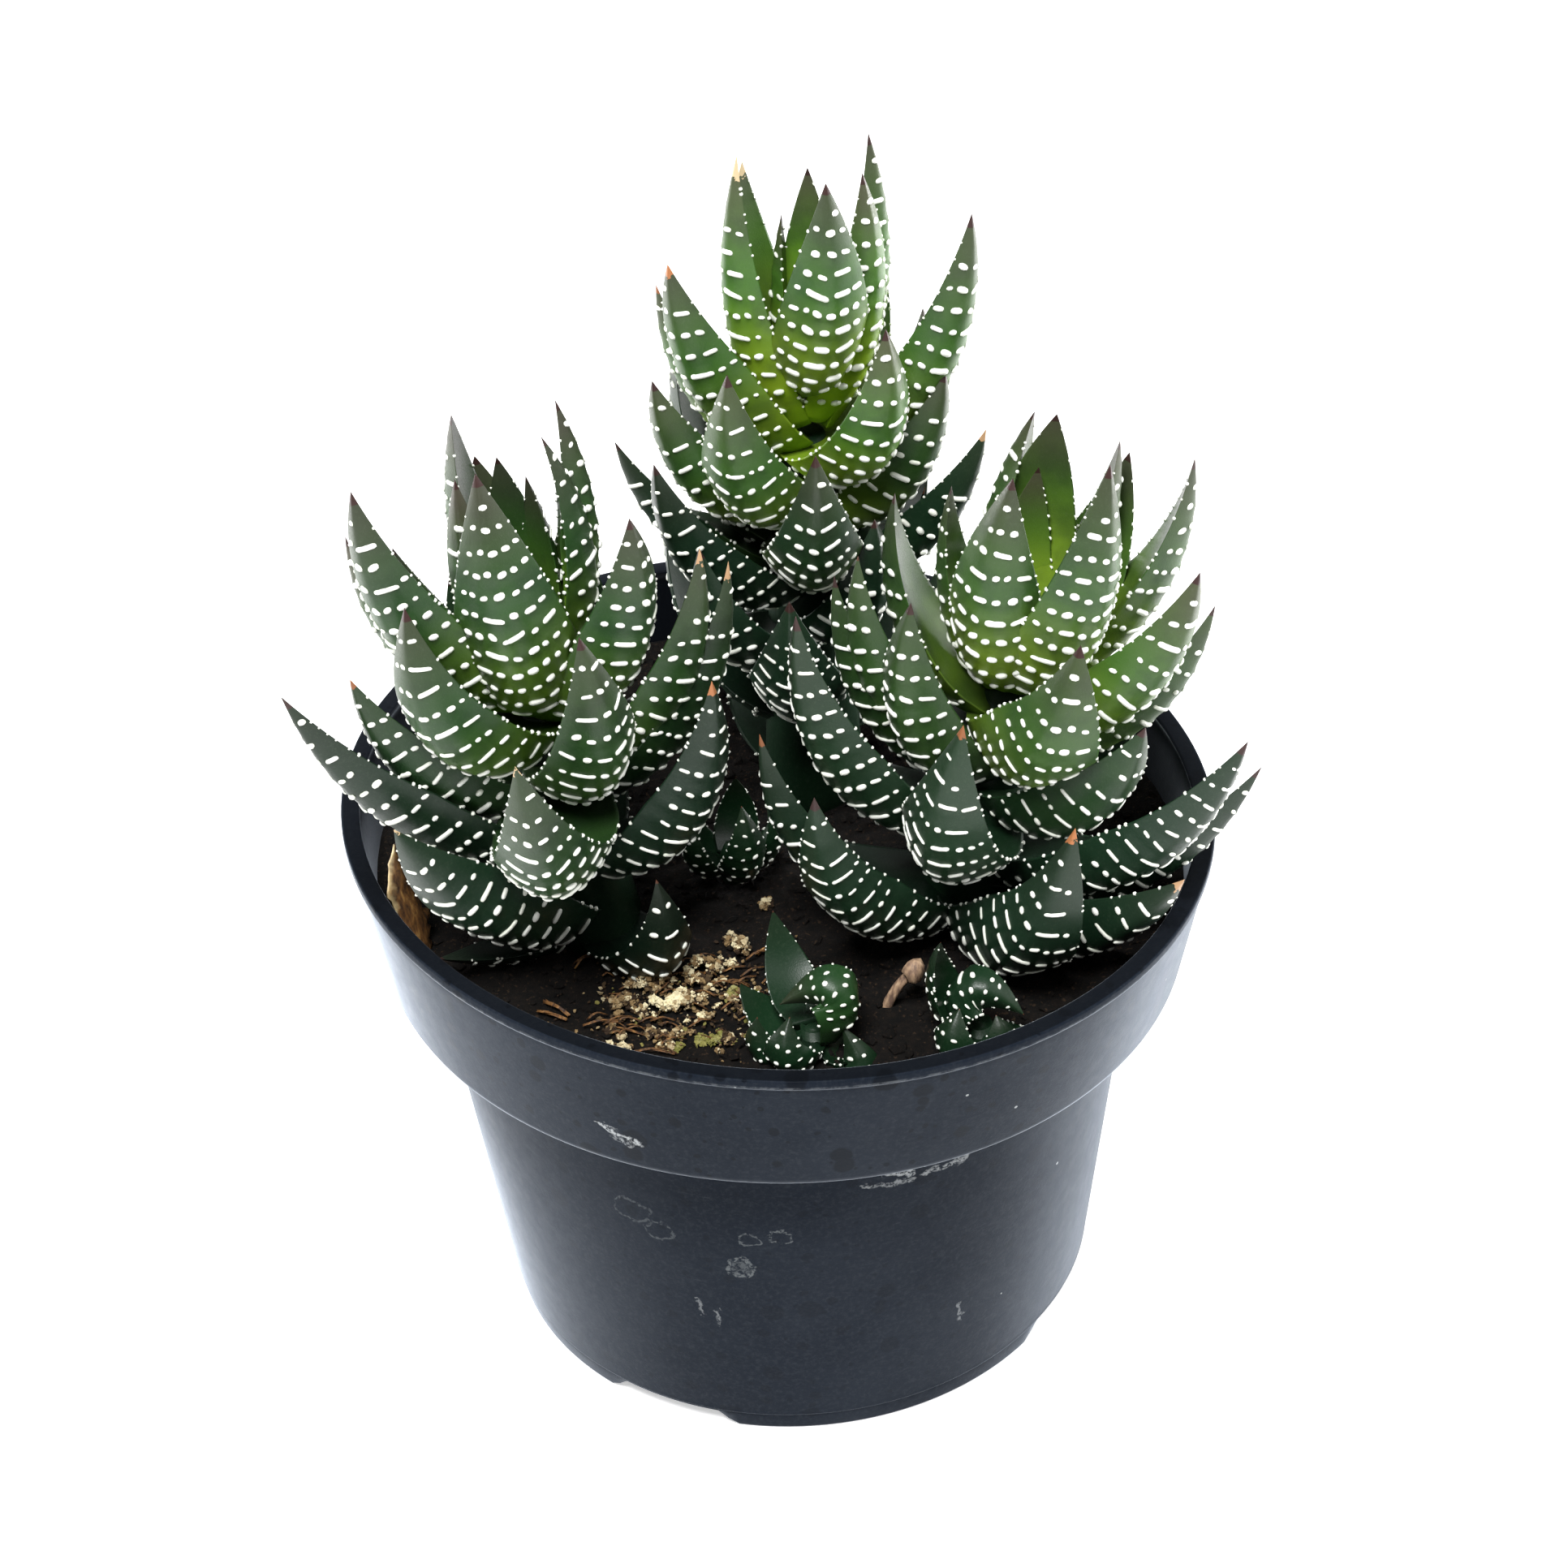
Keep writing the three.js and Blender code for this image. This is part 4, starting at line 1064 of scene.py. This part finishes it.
def build_pot(material):
    lip = POT_HEIGHT - LIP_HEIGHT
    outline = rounded([
        (FOOT_RADIUS - FOOT_RING_WIDTH - 3, FLOOR_UNDERSIDE, 0),
        (FOOT_RADIUS - FOOT_RING_WIDTH, FLOOR_UNDERSIDE, 0.4),
        (FOOT_RADIUS - FOOT_RING_WIDTH, 0, 0.5),
        (FOOT_RADIUS - 0.3, 0, 0.5),
        (FOOT_RADIUS, FOOT_HEIGHT, 0.3),
        (FOOT_RADIUS + 0.25, FOOT_HEIGHT + 0.15, 0.1),
        (FOOT_RADIUS + 0.3, FOOT_HEIGHT + 0.7, 0.2),
        (STEP_RADIUS, STEP_HEIGHT, 1.2),
        (STEP_RADIUS + 0.35, STEP_HEIGHT + 0.25, 0.15),
        (COLLAR_FOOT_RADIUS - 0.2, COLLAR_FOOT_HEIGHT + 0.2, 1.1),
        (COLLAR_TOP_RADIUS, lip, 0.3),
        (RIM_RADIUS, lip + 0.3, 0.25),
        (RIM_RADIUS - 0.05, POT_HEIGHT, 0.3),
        (RIM_RADIUS - RIM_WIDTH, POT_HEIGHT, 0.5),
        (COLLAR_TOP_RADIUS - WALL, lip - 0.4, 0.8),
        (COLLAR_FOOT_RADIUS - WALL, COLLAR_FOOT_HEIGHT + COLLAR_ROUND, 2),
        (STEP_RADIUS - WALL, STEP_HEIGHT + SHELF_RISE, 1),
        (FOOT_RADIUS - WALL, FLOOR_TOP, 1),
        (FOOT_RADIUS - WALL - 4, FLOOR_TOP, 0),
    ])
    rings = np.array([ring_at(r, z, POT_SIDES) for r, z in outline])
    low = outline[:, 1] < FLOOR_UNDERSIDE
    for j in range(POT_SIDES):
        lift = notch_depth(2 * math.pi * j / POT_SIDES)
        heights = rings[low, j, 2]
        rings[low, j, 2] = heights + (FLOOR_UNDERSIDE - heights) * lift
    count = len(outline)
    points = press_oval(rings.reshape(-1, 3).copy())
    centre_under = [[0, 0, FLOOR_UNDERSIDE]]
    centre_top = [[0, 0, FLOOR_TOP]]
    vertices = np.concatenate([points, centre_under, centre_top])
    faces = grid_faces(count, POT_SIDES, closed=True)
    under = count * POT_SIDES
    last = (count - 1) * POT_SIDES
    faces.extend([(j + 1) % POT_SIDES, j, under] for j in range(POT_SIDES))
    faces.extend([last + j, last + (j + 1) % POT_SIDES, under + 1] for j in range(POT_SIDES))
    ring_inside = inside_shares(outline[:, 1])
    parts = MeshParts()
    parts.add(vertices, faces, inside=np.append(np.repeat(ring_inside, POT_SIDES), [0.0, 1.0]))
    pot = parts.make("pot_shell", material)
    cutters = MeshParts()
    for degrees in DRAIN_ANGLES:
        angle = math.radians(degrees)
        centre = DRAIN_CIRCLE * np.array([math.cos(angle), math.sin(angle), 0])
        ends = (FLOOR_UNDERSIDE - DRAIN_OVERSHOOT, FLOOR_TOP + DRAIN_OVERSHOOT)
        rings = [centre + ring_at(DRAIN_RADIUS, z, DRAIN_SIDES) for z in ends]
        cutters.add(np.concatenate(rings), tube_faces(2, DRAIN_SIDES))
    drains = cutters.make("drain_cutters", material)
    cut = pot.modifiers.new("drains", "BOOLEAN")
    cut.operation = "DIFFERENCE"
    cut.object = drains
    cut.solver = "EXACT"
    apply_modifiers(pot)
    bpy.data.objects.remove(drains)
    shade_by_angle(pot, SHARP_EDGE_ANGLE)
    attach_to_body(pot, "root")
    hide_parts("pot")


def apply_modifiers(piece):
    """Puts the result of a piece's modifiers into its mesh."""
    graph = bpy.context.evaluated_depsgraph_get()
    done = bpy.data.meshes.new_from_object(piece.evaluated_get(graph))
    piece.modifiers.clear()
    piece.data = done


def shade_by_angle(piece, degrees):
    """Keeps edges sharper than an angle sharp, and the rest smooth."""
    shape = bmesh.new()
    shape.from_mesh(piece.data)
    limit = math.radians(degrees)
    for edge in shape.edges:
        edge.smooth = len(edge.link_faces) != 2 or edge.calc_face_angle(0) < limit
    for face in shape.faces:
        face.smooth = True
    shape.to_mesh(piece.data)
    shape.free()


# Soil and what lies on it


def soil_height(x, y):
    """Height of the soil's surface: the solid's own waves and finer crumbs."""
    wave = math.sin(0.31 * x + 0.8) * math.cos(0.27 * y) + 0.5 * math.sin(0.6 * x - 0.5 * y)
    crumbs = noise.fractal(Vector((0.35 * x, 0.35 * y, 3.0)), 0.8, 2.1, 5)
    return SOIL_TOP + SOIL_BUMP * wave / 1.5 + 0.55 * crumbs


def build_soil(material):
    rings = []
    for radius in np.linspace(0.6, SOIL_RADIUS, SOIL_RING_COUNT):
        ring = press_oval(ring_at(radius, SOIL_TOP, SOIL_SIDES))
        for point in ring:
            point[2] = soil_height(point[0], point[1])
        rings.append(ring)
    lower = [
        (COLLAR_FOOT_RADIUS - WALL - 0.6, COLLAR_FOOT_HEIGHT + COLLAR_ROUND + 0.6),
        (STEP_RADIUS - WALL - 0.5, STEP_HEIGHT + SHELF_RISE + 0.3),
        (FOOT_RADIUS - WALL - 0.5, FLOOR_TOP + 0.3),
        (2, FLOOR_TOP + 0.3),
    ]
    rings.extend(press_oval(ring_at(radius, height, SOIL_SIDES)) for radius, height in lower)
    parts = MeshParts()
    parts.add(np.concatenate(rings), tube_faces(len(rings), SOIL_SIDES))
    soil = parts.make("soil_bed", material)
    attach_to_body(soil, "root")
    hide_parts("soil")


def crumb_shape(level):
    """Points and faces of a ball to be pressed into crumbs."""
    shape = bmesh.new()
    bmesh.ops.create_icosphere(shape, subdivisions=level, radius=1)
    points = np.array([vertex.co[:] for vertex in shape.verts])
    faces = [[vertex.index for vertex in face.verts] for face in shape.faces]
    shape.free()
    return points, faces


CRUMB_COARSE = crumb_shape(1)
CRUMB_FINE = crumb_shape(2)


def add_crumb(parts, rng, shape, centre, size, flat, rough, **values):
    """One irregular crumb, pressed and lumpy, at a place."""
    points, faces = shape
    turn = Matrix.Rotation(rng.uniform(0, 6.28), 3, "Z") @ Matrix.Rotation(rng.uniform(-0.6, 0.6), 3, "X")
    offset = Vector(rng.uniform(-50, 50, 3).tolist())
    lumps = np.array([1 + rough * noise.noise(Vector(point.tolist()) * 1.7 + offset) for point in points])
    scale = np.array([size, size * rng.uniform(0.6, 1.0), size * flat])
    shaped = (points * lumps[:, None] * scale) @ np.array(turn).T
    parts.add(shaped + centre, faces, **values)


def build_soil_grains(material):
    """Loose bits of bark and peat on the soil."""
    rng = np.random.default_rng(SEED + 1)
    parts = MeshParts()
    for _ in range(GRAINS):
        angle = rng.uniform(0, 2 * math.pi)
        radius = SOIL_RADIUS * 0.985 * math.sqrt(rng.random())
        squeeze = 1 - RIM_OVAL * (SOIL_TOP / POT_HEIGHT) ** 2 * math.sin(2 * angle)
        x = radius * math.cos(angle) * squeeze
        y = radius * math.sin(angle) * squeeze
        size = rng.uniform(0.25, 0.8) + 0.7 * rng.random() ** 5
        centre = np.array([x, y, soil_height(x, y) + 0.2 * size])
        add_crumb(parts, rng, CRUMB_COARSE, centre, size, rng.uniform(0.4, 0.8), 0.9)
    grains = parts.make("soil_grains", material, smooth=False)
    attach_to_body(grains, "root")


# Patches of crust on the soil: place, half widths, height of the heap, number of lumps,
# how pale it is and how mossy
CRUST_PATCHES = (
    (-13.9, -28.3, 4.2, 2.2, 2.2, 24, 0.95, 0.0),
    (-17.3, -23.4, 3.2, 1.8, 2.2, 13, 0.75, 0.0),
    (-21.3, -27.5, 2.6, 3.2, 1.0, 13, 0.5, 0.0),
    (-10.6, -22.5, 2.6, 2.8, 2.0, 15, 0.6, 0.0),
    (-6.6, -18.3, 2.2, 2.6, 1.8, 12, 0.7, 0.05),
    (-5.8, -28.5, 3.0, 3.6, 1.0, 13, 0.45, 0.2),
    (-18.5, -32.8, 4.5, 2.4, 0.6, 12, 0.45, 0.1),
    (-13.8, -34.3, 2.4, 1.4, 0.7, 7, 0.5, 0.55),
    (-8.8, -35.0, 2.6, 1.6, 0.8, 9, 0.55, 0.5),
    (-2.0, -9.4, 0.5, 0.4, 0.8, 2, 0.7, 0.0),
)
# Single crumbs strewn round the patches
LOOSE_CRUMBS = 420
CRUST_MIDDLE = (-13, -27)


def add_lump(parts, rng, centre, size, pale, mossy):
    """A lump like a floret of cauliflower: small granules, paler towards its top as painted light, packed
    over a heart darkened as painted shade.
    """
    add_crumb(parts, rng, CRUMB_FINE, centre, size * 0.8, 0.6, 1.1, vary=max(0.0, pale - 0.45), mossy=mossy)
    for _ in range(int(8 + 17 * size ** 2)):
        turn = rng.uniform(0, 2 * math.pi)
        rise = rng.uniform(0, 1)
        spread = math.sqrt(1 - rise ** 2)
        outward = np.array([spread * math.cos(turn), spread * math.sin(turn), 0.8 * rise])
        grain = (0.13 + 0.26 * rng.random() ** 2) * (0.8 + 0.5 * size)
        shape = CRUMB_FINE if grain > 0.25 else CRUMB_COARSE
        # Granules higher on the lump are paler: painted light on its top, over each granule's own random
        # tone.
        vary = min(1.0, max(0.0, rng.normal(pale + 0.3 * rise - 0.22, 0.24)))
        place = centre + outward * size * rng.uniform(0.6, 1.1)
        add_crumb(parts, rng, shape, place, grain, rng.uniform(0.45, 0.95), 0.95, vary=vary, mossy=mossy)


def build_crust(material):
    rng = np.random.default_rng(SEED + 2)
    parts = MeshParts()
    for x0, y0, half_x, half_y, heap, count, pale, moss in CRUST_PATCHES:
        for _ in range(count):
            turn = rng.uniform(0, 2 * math.pi)
            reach = 1.15 * math.sqrt(rng.random())
            x = x0 + half_x * reach * math.cos(turn)
            y = y0 + half_y * reach * math.sin(turn)
            size = rng.uniform(0.35, 0.85) + 0.5 * max(0.0, 1 - reach) * rng.random()
            height = soil_height(x, y) + 0.2 + heap * max(0.0, 1 - reach ** 2) * rng.uniform(0.3, 1.0)
            mossy = 1.0 if rng.random() < moss else 0.0
            add_lump(parts, rng, np.array([x, y, height]), size, pale * rng.uniform(0.4, 1.25), mossy)
    for _ in range(LOOSE_CRUMBS):
        x = rng.normal(CRUST_MIDDLE[0], 6.0)
        y = rng.normal(CRUST_MIDDLE[1], 4.6)
        size = rng.uniform(0.12, 0.36)
        centre = np.array([x, y, soil_height(x, y) + rng.uniform(0.2, 0.8)])
        mossy = 0.8 if rng.random() < 0.14 else 0.0
        add_crumb(parts, rng, CRUMB_COARSE, centre, size, 0.7, 0.9, vary=rng.uniform(0, 0.6), mossy=mossy)
    crust = parts.make("moss_crust_crumbs", material, smooth=False)
    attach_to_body(crust, "root")
    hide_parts("moss_crust")


def strip_mesh(parts, route, widths, thickness, curl, rng, pale_edge=0.0):
    """A thin dry strip along a route, curled across its width, with ragged edges."""
    route = np.array(route, float)
    count = len(route)
    across_count = 9
    top = np.zeros((count, across_count, 3))
    bottom = np.zeros((count, across_count, 3))
    for i in range(count):
        ahead = unit(route[min(i + 1, count - 1)] - route[max(i - 1, 0)])
        side = unit(np.cross(ahead, np.array([0.6, -0.7, 0.35])))
        out = np.cross(side, ahead)
        for j in range(across_count):
            u = -1 + 2 * j / (across_count - 1)
            ragged = 1 + 0.26 * rng.uniform(-1, 1) * abs(u) ** 3
            wave = 0.12 * math.sin(4 * u + 0.9 * i)
            place = route[i] + side * u * widths[i] * ragged
            place = place + out * (curl * widths[i] * (1 - u * u) + wave)
            top[i, j] = place + out * thickness / 2
            bottom[i, j] = place - out * thickness / 2
    columns = 2 * across_count
    loop = np.concatenate([top, bottom[:, ::-1]], axis=1)
    edge = np.clip(-np.linspace(-1, 1, across_count), 0, 1)
    parts.add(loop, tube_faces(count, columns), edge=pale_edge * np.tile(np.append(edge, edge[::-1]), count))


def curve_points(points, count):
    """Points along a smooth curve through a few given points."""
    points = np.array(points, float)
    padded = np.concatenate([[2 * points[0] - points[1]], points, [2 * points[-1] - points[-2]]])
    result = []
    for k in range(count):
        place = k / (count - 1) * (len(points) - 1)
        i = min(int(place), len(points) - 2)
        t = place - i
        a, b, c, d = padded[i:i + 4]
        square = (2 * a - 5 * b + 4 * c - d) * t ** 2
        cube = (3 * b - a - 3 * c + d) * t ** 3
        result.append(0.5 * (2 * b + (c - a) * t + square + cube))
    return np.array(result)


DRY_LEAF_FOOT = (-46, -12.8)
DRY_LEAF_HEIGHT = 15.5


def build_dry_leaf(material):
    rng = np.random.default_rng(SEED + 3)
    x, y = DRY_LEAF_FOOT
    foot = SOIL_TOP - 0.6
    route = curve_points([
        (x, y, foot),
        (x - 0.7, y + 0.5, foot + 0.35 * DRY_LEAF_HEIGHT),
        (x - 1.3, y + 1.2, foot + 0.7 * DRY_LEAF_HEIGHT),
        (x - 1.4, y + 2, foot + DRY_LEAF_HEIGHT + 1),
    ], 22)
    shares = np.linspace(0, 1, 22)
    widths = 2.4 * np.sin(np.clip(0.28 + 0.72 * shares, 0, 0.985) * math.pi) ** 0.6
    parts = MeshParts()
    strip_mesh(parts, route, widths, 0.35, 0.45, rng, pale_edge=0.75)
    leaf = parts.make("dry_leaf_curl", material)
    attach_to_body(leaf, "root")
    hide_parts("dry_leaf")


# Straws on the soil: place of both ends and width
STRAWS = (
    (-30.6, -24.8, -27.6, -28.2, 0.26),
    (-31.5, -26.7, -27.9, -29.0, 0.2),
    (-23.2, -30.8, -18.5, -32.5, 0.12),
    (-26.0, -30.5, -21.0, -30.0, 0.14),
    (-20.0, -35.5, -15.0, -36.8, 0.16),
)
FIBRES = 80


def build_dry_bits(material):
    """A brown scale in front of the front offset, and straws and fibres on the soil."""
    rng = np.random.default_rng(SEED + 4)
    parts = MeshParts()
    scale = curve_points([(-0.8, -40.2, 64.5), (-1.0, -40.4, 67.5), (-1.5, -39.6, 69.6)], 10)
    strip_mesh(parts, scale, 1.2 * (1 - np.linspace(0, 1, 10) ** 1.6) + 0.06, 0.25, 0.5, rng)
    straws = list(STRAWS)
    for _ in range(FIBRES):
        x = rng.uniform(-27, -3)
        y = rng.uniform(-36, -17)
        turn = rng.uniform(-0.7, 0.7)
        length = rng.uniform(1.5, 4.0)
        end = (x + length * math.cos(turn), y + length * math.sin(turn))
        straws.append((x, y, *end, rng.uniform(0.04, 0.1)))
    for x0, y0, x1, y1, width in straws:
        start = np.array([x0, y0, soil_height(x0, y0) + 0.5])
        end = np.array([x1, y1, soil_height(x1, y1) + 0.5])
        route = curve_points([start, (start + end) / 2 + (0, 0, rng.uniform(0.2, 0.9)), end], 7)
        strip_mesh(parts, route, np.full(7, width), 0.1, 0.5, rng)
    bits = parts.make("dry_bits", material)
    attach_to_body(bits, "root")


STUB_FOOT = (11, -30.6)
STUB_TIP = (14.8, -31, 5.5)


def build_stub(material):
    rng = np.random.default_rng(SEED + 5)
    x, y = STUB_FOOT
    head = (STUB_TIP[0], STUB_TIP[1], SOIL_TOP + STUB_TIP[2])
    count = 12
    sides = 12
    route = curve_points([(x, y, SOIL_TOP - 1), (x + 1.5, y - 0.1, SOIL_TOP + 2.4), head], count)
    turn = turns(sides)
    parts = MeshParts()
    rings = []
    for i, point in enumerate(route):
        ahead = unit(route[min(i + 1, count - 1)] - route[max(i - 1, 0)])
        u = unit(np.cross(ahead, (0, 1, 0)))
        v = np.cross(ahead, u)
        radius = 0.62 + 0.1 * np.sin(3 * turn + 0.4 * i) + 0.05 * rng.uniform(-1, 1, sides)
        rings.append(point + (np.cos(turn) * radius)[:, None] * u + (np.sin(turn) * radius)[:, None] * v)
    parts.add(np.concatenate(rings), tube_faces(count, sides))
    add_crumb(parts, rng, CRUMB_FINE, np.array(head) + (0, 0, 0.1), 1.45, 1.15, 0.35)
    stub = parts.make("dry_stub_stalk", material)
    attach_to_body(stub, "root")
    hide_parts("dry_stub")


# Camera, floor and light

CAMERA_PLACE = (-0.0132, -0.4301, 0.4062)
CAMERA_YAW = 1.95
CAMERA_PITCH = 37.5
CAMERA_ROLL = -3.44
CAMERA_LENS = 98.3
CAMERA_SENSOR = 36
WORLD_STRENGTH = 0.24
# Each light: name, place, the point that it aims at, size and power
LIGHTS = (
    ("key", (-0.15, -0.5, 1.15), (0, 0, 0.05), 0.5, 22),
    ("fill", (0.65, -0.2, 0.6), (0, 0, 0.08), 0.6, 1.8),
    ("left_side", (-0.6, 0.28, 0.16), (0, 0, 0.06), 0.3, 4.5),
    ("right_side", (0.6, 0.28, 0.16), (0, 0, 0.06), 0.3, 7),
)


def build_camera():
    """The camera stands a little left of the pot's middle and looks 37.5 degrees down."""
    data = bpy.data.cameras.new("camera")
    data.lens = CAMERA_LENS
    data.sensor_width = CAMERA_SENSOR
    data.clip_start = 0.01
    camera = bpy.data.objects.new("camera", data)
    bpy.context.scene.collection.objects.link(camera)
    yaw = math.radians(CAMERA_YAW)
    pitch = math.radians(CAMERA_PITCH)
    roll = math.radians(CAMERA_ROLL)
    forward = Vector((math.sin(yaw) * math.cos(pitch), math.cos(yaw) * math.cos(pitch), -math.sin(pitch)))
    right = Vector((math.cos(yaw), -math.sin(yaw), 0))
    up = right.cross(forward)
    turned_right = math.cos(roll) * right + math.sin(roll) * up
    turned_up = math.cos(roll) * up - math.sin(roll) * right
    rotation = Matrix((turned_right, turned_up, -forward)).transposed()
    camera.matrix_world = Matrix.Translation(CAMERA_PLACE) @ rotation.to_4x4()
    bpy.context.scene.camera = camera


def build_floor():
    bpy.ops.mesh.primitive_circle_add(vertices=96, radius=3, fill_type="NGON")
    floor = bpy.context.object
    floor.name = "studio_floor"
    floor.data.materials.append(floor_material())


def area_light(name, place, target, size, power):
    data = bpy.data.lights.new(name, "AREA")
    data.shape = "DISK"
    data.size = size
    data.energy = power
    light = bpy.data.objects.new(name, data)
    bpy.context.scene.collection.objects.link(light)
    light.location = place
    aim = Vector(target) - Vector(place)
    light.rotation_euler = aim.to_track_quat("-Z", "Y").to_euler()


def build_light():
    world = bpy.data.worlds.new("studio")
    world.use_nodes = True
    background = world.node_tree.nodes["Background"]
    background.inputs["Color"].default_value = (1, 1, 1, 1)
    background.inputs["Strength"].default_value = WORLD_STRENGTH
    bpy.context.scene.world = world
    for light in LIGHTS:
        area_light(*light)
    bpy.context.scene.view_settings.view_transform = "Standard"


def main():
    build_camera()
    build_floor()
    build_light()
    pearl = pearl_material()
    for plant in ROSETTES:
        build_rosette(plant, leaf_material(plant["slot"]), pearl)
    offset_skin = leaf_material("leaf_offset")
    for plant in OFFSETS:
        build_offset(plant, offset_skin, pearl)
    build_pot(pot_material())
    build_soil(soil_material())
    build_soil_grains(soil_material())
    build_crust(crumb_material(
        "moss_crust", (0.03, 0.017, 0.009), (0.25, 0.165, 0.075), (0.8, 0.71, 0.46), (0.22, 0.22, 0.05)))
    dry = dry_material("dry_leaf", (0.42, 0.23, 0.07), (0.2, 0.09, 0.025), (0.04, 0.018, 0.008))
    build_dry_leaf(dry)
    build_dry_bits(dry)
    build_stub(dry_material("dry_stub", (0.62, 0.45, 0.3), (0.4, 0.26, 0.16), (0.16, 0.1, 0.07)))


main()
